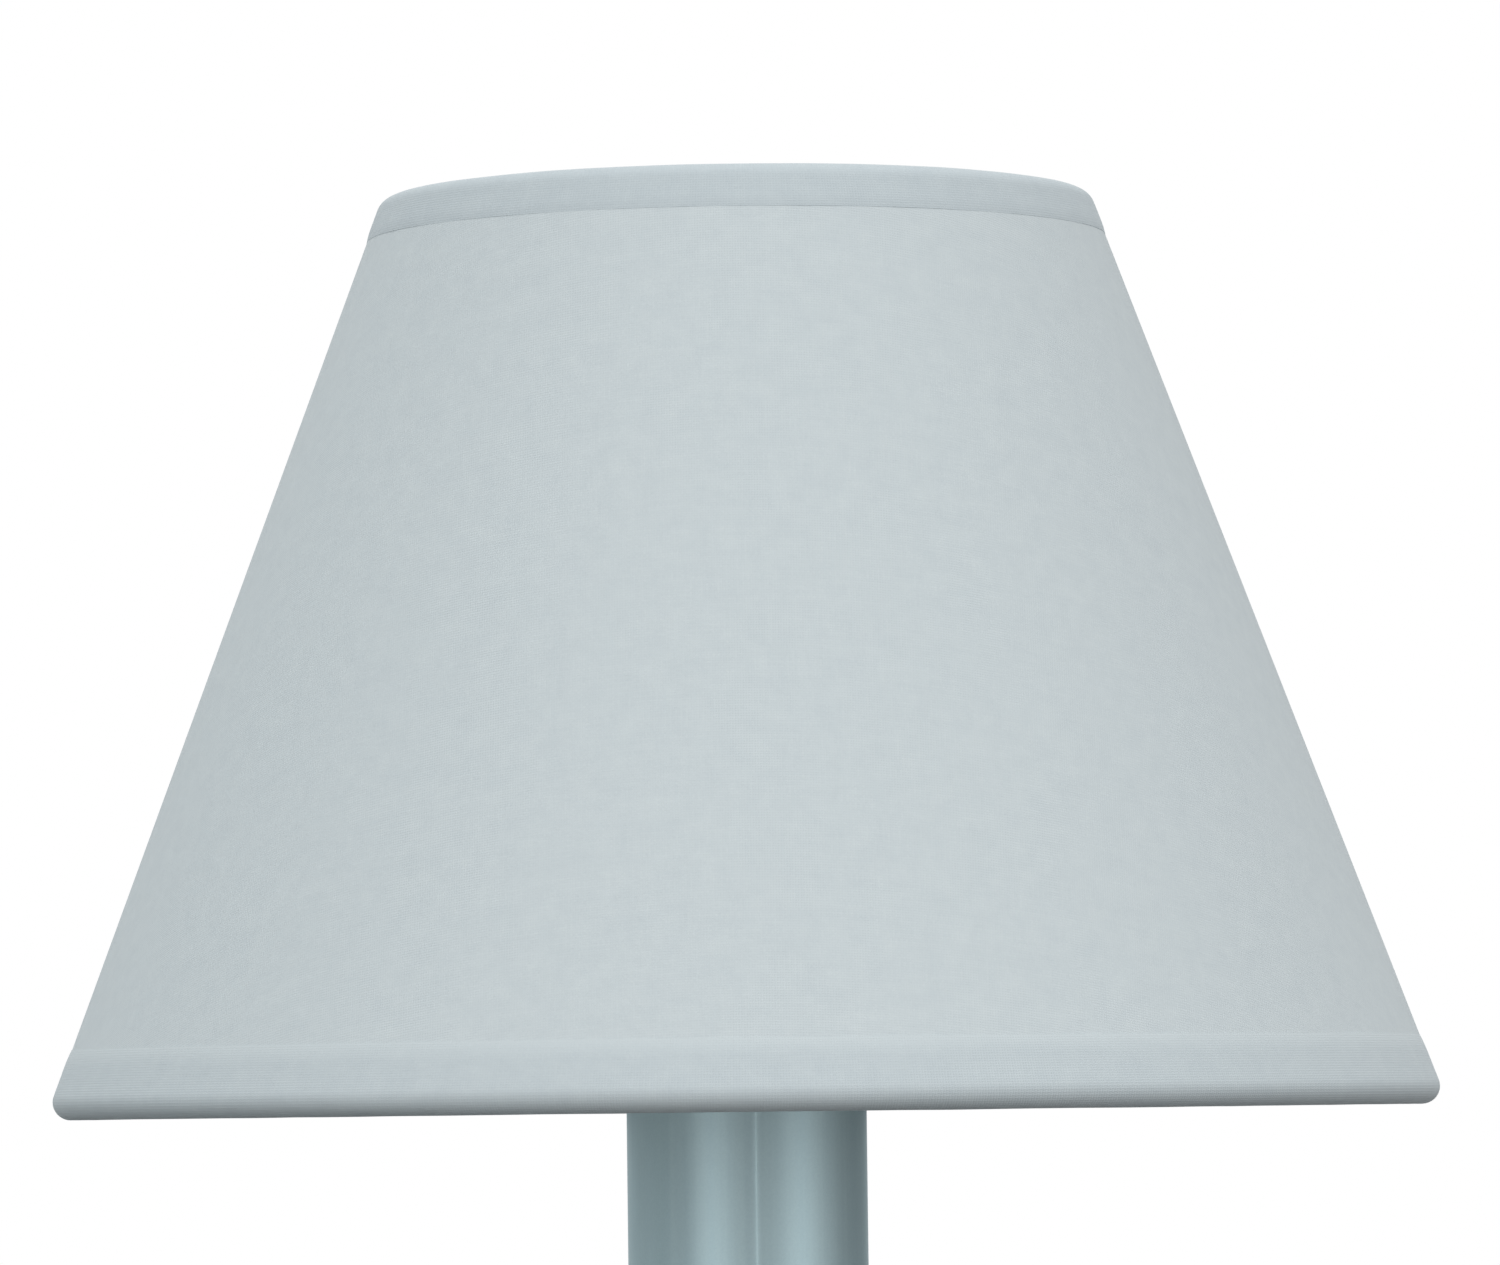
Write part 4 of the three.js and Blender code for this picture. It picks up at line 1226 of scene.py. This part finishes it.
class CHANDELIER_OT_column(bpy.types.Operator):
    """Makes the turned column: finial, hub cup, hub with its arm collars, baluster and ball"""

    bl_idname = "chandelier.column"
    bl_label = "Column"

    rod = 5.3   # radius of the bores that the tie rod goes through
    collar_at = 25.2 * MM
    collar_radius = 8.2 * MM
    collar_depth = 3.4 * MM
    collar_round = 0.9 * MM
    collar_steps = ((0.7, 0.0), (0.25, -0.35))   # width and rise of the steps on its face
    facing = 0.99   # of a face's normal, along the arm
    groove_shares = (0.505, 0.555)   # of the baluster's height
    groove_depth = 0.45
    groove_half_width = 0.9

    def execute(self, context):
        self.turned("finial_knob", self.finial(), "finial", "finial", closed=False)
        self.turned("hub_cup", self.hub_cup(), "frame", "hub_cap")
        collars = [self.arm_collar(number) for number in LIGHT_NUMBERS]
        self.turned("hub_boss", self.hub(), "frame", "hub", collars)
        self.turned("baluster", self.baluster(), "frame", "column")
        self.turned("stem_ball_turned", self.ball(), "frame", "stem_ball")
        paint(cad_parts["tie_rod"], "plated_steel")
        return {"FINISHED"}

    def turned(self, name, outline, body, node, extras=(), closed=True):
        """A turned and painted piece, with the extras joined to it."""
        piece = turn(name, eased(outline, 0.5, closed=closed), foot_of(node), steps=112, closed=closed)
        if extras:
            smooth(join(piece, *extras))
        finish_piece(paint(piece, "satin_paint"), body, node)

    def finial(self):
        drop = curve([(0.0, 0.0), (1.7, 0.6), (2.8, 2.3), (3.0, 4.5), (2.5, 6.4), (2.2, 7.4)])
        flare = curve([(2.2, 8.0), (2.9, 9.7), (4.6, 11.2), (6.3, 11.8)])
        knob = curve([(6.5, 13.1), (8.9, 16.0), (10.0, 20.0), (9.4, 23.2), (7.6, 26.0)])
        return [*drop, *flare, (6.3, 12.6), *knob, (6.9, 26.6), (6.9, 29.0), (7.6, 29.7), (8.6, 30.2),
                (9.0, 31.0), (9.0, 34.0), (self.rod, 34.0), (self.rod, 19.7), (0.0, 19.7)]

    def hub_cup(self):
        ring = arc((8.6, 1.4), 1.1, -60, 60, 6)
        bowl = curve([(9.0, 3.4), (9.9, 5.5), (13.2, 9.1), (17.2, 13.7), (20.0, 18.3), (21.4, 22.5)])
        return [(self.rod, 0.0), (9.0, 0.0), *ring, (8.6, 2.7), *bowl, (21.4, 23.4), (20.8, 23.8),
                (20.8, 24.6), (22.0, 25.2), (22.0, 30.0), (self.rod, 30.0)]

    def hub(self):
        """The same from both ends."""
        height = height_of("hub") / MM
        foot = curve([(20.0, 1.4), (22.6, 2.3), (24.4, 4.1), (25.0, 6.4)])
        half = [(self.rod, 0.0), (20.0, 0.0), *foot, (25.0, 7.6), (24.2, 8.0), (24.2, 9.0), (25.0, 9.4)]
        return half + [(r, height - z) for r, z in reversed(half)]

    def arm_collar(self, number):
        """A small turned collar round an arm, where it leaves the hub."""
        turn_by = light_turn(number)
        out = Vector((math.cos(turn_by), math.sin(turn_by), 0))
        collar = add(bpy.ops.mesh.primitive_cylinder_add, "arm_collar", vertices=48,
                     radius=self.collar_radius, depth=self.collar_depth,
                     location=out * self.collar_at + middle_of("hub"), rotation=(0, math.pi / 2, turn_by))
        pick(collar, "FACE", lambda face: face.normal.dot(out) > self.facing)
        bpy.ops.mesh.bevel(offset=self.collar_round, segments=4, affect="EDGES")
        pick(collar, "FACE", lambda face: face.normal.dot(out) > self.facing and face.area > WHOLE_END)
        step_in(self.collar_steps)
        leave_edit()
        smooth(collar)
        return collar

    def baluster(self):
        radius = options().metal.belly_radius / MM
        height = height_of("column") / MM

        def up(*shares):
            """The (radius, share of the height) points, with their heights."""
            return [(r, height * share) for r, share in shares]

        foot = up((self.rod, 0.0), (19.0, 0.0), (19.0, 0.03), (17.6, 0.034), (17.6, 0.046))
        cove = curve(up((16.2, 0.052), (13.6, 0.07), (11.0, 0.11), (9.6, 0.165), (9.5, 0.183)))
        ring = arc((9.6, height * 0.22), 3.4, -75, 75, 14)
        vase = curve(up((9.5, 0.262), (11.6, 0.295), (17.0, 0.36), (radius - 2.1, 0.44), (radius, 0.53),
                        (radius - 2.8, 0.61), (17.4, 0.675), (13.0, 0.74), (9.8, 0.81), (8.6, 0.87),
                        (8.8, 0.9)), per_span=10)
        grooved = []
        for r, z in vase:
            off = min(abs(z - height * share) for share in self.groove_shares)
            grooved.append((r - self.groove_depth * max(0.0, 1 - off / self.groove_half_width), z))
        head = up((9.4, 0.915), (11.2, 0.925), (12.0, 0.94), (12.0, 0.965), (11.0, 0.972), (11.0, 0.984),
                  (11.6, 0.988), (11.6, 1.0), (self.rod, 1.0))
        return [*foot, *cove, *up((9.5, 0.196)), *ring, *up((9.5, 0.244)), *grooved, *head]

    def ball(self):
        height = height_of("stem_ball") / MM
        sphere = arc((0.0, height / 2), half_width("stem_ball") / MM, -53, 53, 28)
        return [(self.rod, 0.0), (8.6, 0.0), (8.6, 1.0), *sphere, (8.6, height - 1.0), (8.6, height),
                (6.65, height), (6.65, height - 9.3), (self.rod, height - 9.3)]


# Stem, canopy and ceiling plate


class CHANDELIER_OT_stem(bpy.types.Operator):
    """Makes the stem with its threaded top end, and the nut that locks it"""

    bl_idname = "chandelier.stem"
    bl_label = "Stem"

    bore = 4.2
    rows = 16
    thread_low = 173.4   # above the stem's foot
    thread = (0.45, 1.0)   # depth and pitch
    thread_plain = (0.6, 0.4)   # below and above the thread
    end_taper = 0.5
    wire_hole_at = 168.6   # above the stem's foot
    wire_hole_radius = 2.6 * MM
    wire_hole_depth = 12.0 * MM   # from the stem's axis
    nut_across_flats = 19.0
    nut_bore = 6.65

    def execute(self, context):
        radius = options().metal.stem_radius / MM
        foot, height = foot_of("stem"), height_of("stem") / MM
        depth, pitch = self.thread
        below, above = self.thread_plain
        plain = [(radius, self.thread_low * row / self.rows) for row in range(self.rows + 1)]
        ridges = thread_outline(radius, depth, self.thread_low + below, height - above, pitch)
        end = [(radius - self.end_taper, height), (self.bore, height)]
        stem = turn("stem_tube", eased([(self.bore, 0.0), *plain, *ridges, *end], 0.3), foot, steps=64)
        hole_at = (0, -self.wire_hole_depth / 2, foot + self.wire_hole_at * MM)
        cut(stem, round_bar("wire_hole", self.wire_hole_radius, self.wire_hole_depth, hole_at, "Y", 24))
        smooth(stem)
        finish_piece(paint(stem, "satin_paint_drawn"), "frame", "stem")
        nut = hexagon_nut("stem_locknut", "stem_lock_nut", self.nut_across_flats, self.nut_bore)
        finish_piece(paint(nut, "brass"), "frame", "stem_lock_nut")
        return {"FINISHED"}


class CHANDELIER_OT_canopy(bpy.types.Operator):
    """Makes the canopy, the collar under it and the knurled screw that grips the stem"""

    bl_idname = "chandelier.canopy"
    bl_label = "Canopy"

    wall = 1.2
    screw_hole_radius = 2.25 * MM
    screw_hole_depth = 14.0 * MM
    screw_hole_middle = -11.0 * MM
    knurl_ridges = 40
    knurl_radius = 4.25 * MM   # at the foot of the ridges
    knurl_slope = 0.09 * MM   # width of a ridge's flanks
    knurl_rise = 0.22 * MM
    head_depth = 6.0 * MM
    head_steps = ((0.7, 0.25), (0.9, 0.0), (0.3, -0.5))   # width and rise of the steps on the head's face
    shank_step = (2.25, 0.0)   # from the head's edge in to the shank

    def execute(self, context):
        canopy = turn("canopy_dome", eased(self.dome(), 0.35), foot_of("canopy"), steps=144)
        finish_piece(paint(canopy, "satin_paint"), "canopy", "canopy")
        ring = self.collar()
        finish_piece(paint(ring, "satin_paint"), "canopy", "canopy_collar")
        screw = self.thumb_screw()
        finish_piece(paint(screw, "brass"), "collar_screw", "collar_screw")
        return {"FINISHED"}

    def dome(self):
        edge = options().metal.canopy_radius / MM
        height = height_of("canopy") / MM
        dome = curve([(13.4, 3.7), (15.6, 6.2), (21.2, 10.2), (28.4, 15.1), (37.6, 21.2), (45.6, 27.3),
                      (50.8, 32.9), (53.4, 37.3)], 8)
        bead = arc((edge - 1.1, 40.2), 1.1, -60, 60, 8)
        lip = [(edge - 0.8, 41.5), (edge - 0.8, height), (edge - 2.2, height), (edge - 2.4, 39.9)]
        inset = 0.75 * self.wall
        hollow = [(r - inset, z + inset) for r, z in reversed(dome[3:])]
        return [(7.0, 0.0), (12.0, 0.0), (12.0, 2.7), (13.4, 3.3), *dome, (53.4, 38.1), (54.6, 38.7), *bead,
                *lip, *hollow, (12.6, 4.7), (11.0, 1.3), (7.0, 1.3)]

    def collar(self):
        height = height_of("canopy_collar") / MM
        outline = [(6.95, 0.0), (9.8, 0.0), (11.0, 1.2), (11.0, 1.9), (10.4, 2.2), (10.4, 2.8), (11.0, 3.1),
                   (11.0, height - 0.4), (10.6, height), (6.95, height)]
        ring = turn("canopy_ring", eased(outline, 0.3), foot_of("canopy_collar"), steps=80)
        hole_at = (0, self.screw_hole_middle, middle_of("canopy_collar").z)
        cut(ring, round_bar("screw_hole", self.screw_hole_radius, self.screw_hole_depth, hole_at, "Y", 32))
        smooth(ring)
        return ring

    def thumb_screw(self):
        """A knurled head, shaped from a short cylinder, with the shank drawn out of its inner face."""
        low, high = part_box("collar_screw")
        head_start = low.y + self.head_depth
        middle = (0, (low.y + head_start) / 2, middle_of("collar_screw").z)
        screw = round_bar("thumb_screw", self.knurl_radius, self.head_depth, middle, "Y", self.knurl_ridges)
        pick(screw, "FACE", lambda face: abs(face.normal.y) < 0.5)
        bpy.ops.mesh.inset(thickness=self.knurl_slope, depth=self.knurl_rise, use_individual=True)
        pick(screw, "FACE", lambda face: face.normal.y > 0.9 and face.area > WHOLE_END)
        step_in([self.shank_step])
        bpy.ops.mesh.extrude_region_move(TRANSFORM_OT_translate={"value": (0, high.y - head_start, 0)})
        pick(screw, "FACE", lambda face: face.normal.y < -0.9 and face.area > WHOLE_END)
        step_in(self.head_steps)
        leave_edit()
        smooth(screw, 28)
        return screw


class CHANDELIER_OT_ceiling_plate(bpy.types.Operator):
    """Makes the plate that is screwed to the ceiling, and the wiring block under it"""

    bl_idname = "chandelier.ceiling_plate"
    bl_label = "Ceiling plate"

    disc_low = 13.0   # above the foot of the plate's boss
    slot_at = 36.0 * MM
    slot_length = 12.0 * MM
    slot_width = 5.0 * MM
    cable_at = 26.0 * MM
    cable_radius = 6.0 * MM
    cutter_depth = 8.0 * MM
    block_round = 0.7 * MM
    way_spacing = 4.9 * MM
    shaft_radius = 1.9 * MM
    shaft_depth = 3.5 * MM   # from the block's underside
    shaft_cutter = 5.0 * MM
    wire_radius = 1.5 * MM
    wire_above_middle = 2.6 * MM
    wire_cutter = 20.0 * MM
    grub_radius = 1.6 * MM
    grub_depth = 2.0 * MM
    grub_sunk = 2.2 * MM   # from the block's underside to the screws' faces
    driver_slot = (0.5 * MM, 4.0 * MM, 0.5 * MM)   # width, length and depth

    def execute(self, context):
        foot, height = foot_of("ceiling_plate"), height_of("ceiling_plate") / MM
        edge, low = half_width("ceiling_plate") / MM, self.disc_low
        boss = [(6.65, low), (6.65, 0.0), (13.0, 0.0), (13.0, low - 1.4), (14.4, low)]
        outline = [(0.0, low), *boss, (edge, low), (edge, height), (0.0, height)]
        plate = turn("ceiling_disc", eased(outline, 0.4, closed=False), foot, steps=128, closed=False)
        disc_middle = foot + (low + height) / 2 * MM
        for side in (-1, 1):
            cut(plate, self.slot_cutter(side * self.slot_at, disc_middle))
        cable = (0, self.cable_at, disc_middle)
        cut(plate, round_bar("cable_hole", self.cable_radius, self.cutter_depth, cable))
        smooth(plate, 28)
        finish_piece(paint(plate, "plated_steel"), "frame", "ceiling_plate")
        finish_piece(self.wiring_block(), "frame", "terminal_block")
        return {"FINISHED"}

    def slot_cutter(self, across, height):
        """A round bar pulled apart into a bar with round ends."""
        cutter = round_bar("slot", self.slot_width / 2, self.cutter_depth, (across, 0, height), sides=32)
        spread = (self.slot_length - self.slot_width) / 2
        for side in (-1, 1):
            pick(cutter, "VERT", lambda v: (v.co.x - across) * side > SAME_PLACE)
            bpy.ops.transform.translate(value=(side * spread, 0, 0))
        leave_edit()
        return cutter

    def wiring_block(self):
        """A three-way block: rounded edges, a screw shaft under each way and wire holes at both sides."""
        low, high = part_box("terminal_block")
        middle = middle_of("terminal_block")
        block = add(bpy.ops.mesh.primitive_cube_add, "wiring_block", size=1.0, location=middle,
                    scale=high - low)
        pick(block, "EDGE", lambda edge: True)
        bpy.ops.mesh.bevel(offset=self.block_round, segments=3, affect="EDGES")
        leave_edit()
        screws = []
        for way in (-1, 0, 1):
            x = way * self.way_spacing
            shaft = (x, middle.y, low.z + self.shaft_depth - self.shaft_cutter / 2)
            wire = (x, middle.y, middle.z + self.wire_above_middle)
            cut(block, round_bar("screw_shaft", self.shaft_radius, self.shaft_cutter, shaft, sides=32))
            cut(block, round_bar("wire_way", self.wire_radius, self.wire_cutter, wire, "Y", 32))
            screws.append(self.grub_screw(x, middle.y, low.z + self.grub_sunk))
        smooth(block)
        return join(paint(block, "white_plastic"), *screws)

    def grub_screw(self, x, y, face):
        """A short screw with a slot across its face."""
        width, length, depth = self.driver_slot
        screw = round_bar("grub_screw", self.grub_radius, self.grub_depth, (x, y, face + self.grub_depth / 2),
                          sides=32)
        cut(screw, add(bpy.ops.mesh.primitive_cube_add, "screw_slot", size=1.0, location=(x, y, face),
                       scale=(width, length, 2 * depth)))
        smooth(screw)
        return paint(screw, "brass")


# Stage


def grey(level):
    return (level, level, level, 1)


class CHANDELIER_OT_stage(bpy.types.Operator):
    """Makes the floor, the lamps, the sky and the camera"""

    bl_idname = "chandelier.stage"
    bl_label = "Stage"

    sky_fade = (-0.2, 0.5)   # heights of a direction where the sky's light starts and stops rising
    floor_radius = 6.0   # metres, as the stage's other sizes and distances are
    floor_fade = (0.55, 1.15)   # distances where the floor starts to fade and is white
    floor_tones = (0.84, 0.87)
    floor_return = 0.12   # level of the floor in the light that it gives back
    key_stand = (-33, -2)   # degrees to the right of the camera, and up
    fill_stand = (51, -2)
    top_stand = (0, 44)
    back_stand = (200, 24)
    card_stand = (122, 0)
    side_size = (0.60, 0.80)   # width and height
    top_size = (1.52, 1.14)
    back_size = (0.80, 0.60)
    card_size = 0.9
    lamp_distance = 1.05
    top_distance = 2.0
    card_distance = 0.75
    card_level = 0.40   # of white
    lens = 230.0   # millimetres, as the sensor's width is
    sensor_width = 36.0
    eye_distance = 0.959
    pitch = math.radians(2.871)
    yaw = math.radians(-0.055)
    roll = math.radians(-0.7)

    def execute(self, context):
        scene, stage = context.scene, options().stage
        scene.view_settings.view_transform = "Standard"
        scene.world = self.sky(stage)
        self.floor(stage.floor_height)
        seen = light_axis(1) + Vector((0, 0, RIM))
        self.lamp("key_lamp", seen, self.key_stand, self.side_size, stage.key_power)
        self.lamp("fill_lamp", seen, self.fill_stand, self.side_size, stage.fill_power)
        self.lamp("top_lamp", seen, self.top_stand, self.top_size, stage.top_power, self.top_distance)
        back = self.lamp("back_lamp", seen, self.back_stand, self.back_size, stage.back_power)
        back.visible_glossy = False
        self.grey_card(seen)
        scene.camera = self.camera(seen)
        return {"FINISHED"}

    def sky(self, stage):
        """White to the camera, in metal and in glass; light that fades from above to below on the rest."""
        sky = bpy.data.worlds.new("studio_sky")
        sky.use_nodes = True
        n = Nodes(sky.node_tree)
        where = n.node("ShaderNodeTexCoord").outputs["Generated"]
        up = n.node("ShaderNodeSeparateXYZ", {0: where}).outputs["Z"]
        lit = n.span(up, stage.sky_below, stage.sky_above, *self.sky_fade, interpolation_type="SMOOTHSTEP")
        rays = n.node("ShaderNodeLightPath").outputs
        plain = n.math("MAXIMUM", rays["Is Camera Ray"], rays["Is Glossy Ray"])
        plain = n.math("MAXIMUM", plain, rays["Is Transmission Ray"])
        strength = n.node("ShaderNodeMix", {0: plain, 2: lit, 3: 1.0}).outputs[0]
        glow = n.node("ShaderNodeBackground", {"Color": WHITE, "Strength": strength})
        n.node("ShaderNodeOutputWorld", {"Surface": glow.outputs[0]})
        return sky

    def floor(self, height):
        """A pale floor that fades to white, keeps the shadow, and gives back little light from below."""
        floor = add(bpy.ops.mesh.primitive_circle_add, "studio_floor", vertices=128, radius=self.floor_radius,
                    fill_type="TRIFAN", location=(0, 0, height))
        f = Finish("studio_floor")
        bounced = f.node("ShaderNodeLightPath").outputs["Is Diffuse Ray"]
        grain = f.noise(f.place(), scale=900.0)
        pale = f.blend(f.span(grain, 0.0, 1.0), *[grey(level) for level in self.floor_tones])
        f.surface({"Base Color": f.blend(bounced, pale, grey(self.floor_return)), "Roughness": 0.9,
                   "Specular IOR Level": 0.0})
        away = f.node("ShaderNodeVectorMath", {0: f.place()}, operation="LENGTH").outputs["Value"]
        far = f.span(away, 0.0, 1.0, *self.floor_fade)
        strength = f.span(bounced, 1.0, self.floor_return, 0.0, 1.0)
        glow = f.node("ShaderNodeEmission", {"Color": WHITE, "Strength": strength})
        mixed = f.node("ShaderNodeMixShader", {0: far, 1: f.shader.outputs["BSDF"], 2: glow.outputs[0]})
        f.feed(f.output.inputs["Surface"], mixed.outputs[0])
        f.material.cycles.emission_sampling = "NONE"
        floor.data.materials.append(f.material)

    def stand(self, seen, angles, distance):
        """A place at an angle to the right of the camera and an angle up, and the turn to face what is
        seen."""
        right, up = [math.radians(angle) for angle in angles]
        level = math.cos(up)
        at = seen + Vector((math.sin(right) * level, -math.cos(right) * level, math.sin(up))) * distance
        return at, (seen - at).to_track_quat("-Z", "Y").to_euler()

    def grey_card(self, seen):
        """A card at the right and behind that glows a steady grey instead of being lit. It shows only in
        gloss, where it gives the metal a dark reflected edge."""
        at, facing = self.stand(seen, self.card_stand, self.card_distance)
        card = add(bpy.ops.mesh.primitive_plane_add, "studio_card", size=self.card_size, location=at,
                   rotation=facing)
        f = Finish("studio_card")
        f.surface({"Base Color": grey(0), "Emission Color": WHITE, "Emission Strength": self.card_level,
                   "Specular IOR Level": 0.0})
        f.material.cycles.emission_sampling = "NONE"
        card.data.materials.append(f.material)
        card.visible_camera = False
        card.visible_diffuse = False
        card.visible_transmission = False
        card.visible_shadow = False

    def lamp(self, name, seen, angles, size, power, distance=lamp_distance):
        """A soft lamp, turned towards the light that is seen."""
        at, facing = self.stand(seen, angles, distance)
        clear_selection()
        bpy.ops.object.light_add(type="AREA", location=at, rotation=facing)
        lamp = bpy.context.object
        lamp.name = name
        lamp.data.shape = "RECTANGLE"
        lamp.data.size, lamp.data.size_y = size
        lamp.data.energy = power
        lamp.visible_camera = False
        return lamp

    def camera(self, seen):
        """A long lens at the height of the shade's bottom edge, looking a little up."""
        level = Quaternion((1, 0, 0), math.pi / 2)
        turned = Quaternion((0, 0, 1), self.yaw) @ level @ Quaternion((1, 0, 0), self.pitch)
        turned = turned @ Quaternion((0, 0, 1), self.roll)
        eye = seen - Vector((0, self.eye_distance, 0))
        clear_selection()
        bpy.ops.object.camera_add(location=eye, rotation=turned.to_euler())
        camera = bpy.context.object
        camera.data.lens = self.lens
        camera.data.sensor_width = self.sensor_width
        camera.data.clip_start = 0.05
        camera.data.clip_end = 60.0
        return camera


# Panel and registration


OPERATORS = (
    CHANDELIER_OT_shade_covers,
    CHANDELIER_OT_shade_wires,
    CHANDELIER_OT_shade_tapes,
    CHANDELIER_OT_bulb_clips,
    CHANDELIER_OT_bulbs,
    CHANDELIER_OT_candle_tubes,
    CHANDELIER_OT_lampholders,
    CHANDELIER_OT_drip_pans,
    CHANDELIER_OT_arms,
    CHANDELIER_OT_column,
    CHANDELIER_OT_stem,
    CHANDELIER_OT_canopy,
    CHANDELIER_OT_ceiling_plate,
    CHANDELIER_OT_stage,
)


class CHANDELIER_PT_panel(bpy.types.Panel):
    """Lists the settings and the pieces"""

    bl_idname = "CHANDELIER_PT_panel"
    bl_label = "Chandelier"
    bl_space_type = "VIEW_3D"
    bl_region_type = "UI"
    bl_category = "Chandelier"

    def draw(self, context):
        chosen = options()
        for group in (chosen.shade, chosen.metal, chosen.colours, chosen.stage):
            box = self.layout.box()
            for key in group.__annotations__:
                box.prop(group, key)
        for operator in OPERATORS:
            self.layout.operator(operator.bl_idname)


GROUPS = (ShadeSizes, MetalSizes, FinishColours, StageSettings, ChandelierSettings)
CLASSES = (*GROUPS, *OPERATORS, CHANDELIER_PT_panel)


def register():
    for cls in CLASSES:
        bpy.utils.register_class(cls)
    bpy.types.Scene.chandelier = PointerProperty(type=ChandelierSettings)


def unregister():
    del bpy.types.Scene.chandelier
    for cls in reversed(CLASSES):
        bpy.utils.unregister_class(cls)


def main():
    register()
    bpy.ops.chandelier.shade_covers()
    bpy.ops.chandelier.shade_wires()
    bpy.ops.chandelier.shade_tapes()
    bpy.ops.chandelier.bulb_clips()
    bpy.ops.chandelier.bulbs()
    bpy.ops.chandelier.candle_tubes()
    bpy.ops.chandelier.lampholders()
    bpy.ops.chandelier.drip_pans()
    bpy.ops.chandelier.arms()
    bpy.ops.chandelier.column()
    bpy.ops.chandelier.stem()
    bpy.ops.chandelier.canopy()
    bpy.ops.chandelier.ceiling_plate()
    bpy.ops.chandelier.stage()


if __name__ == "__main__":
    main()
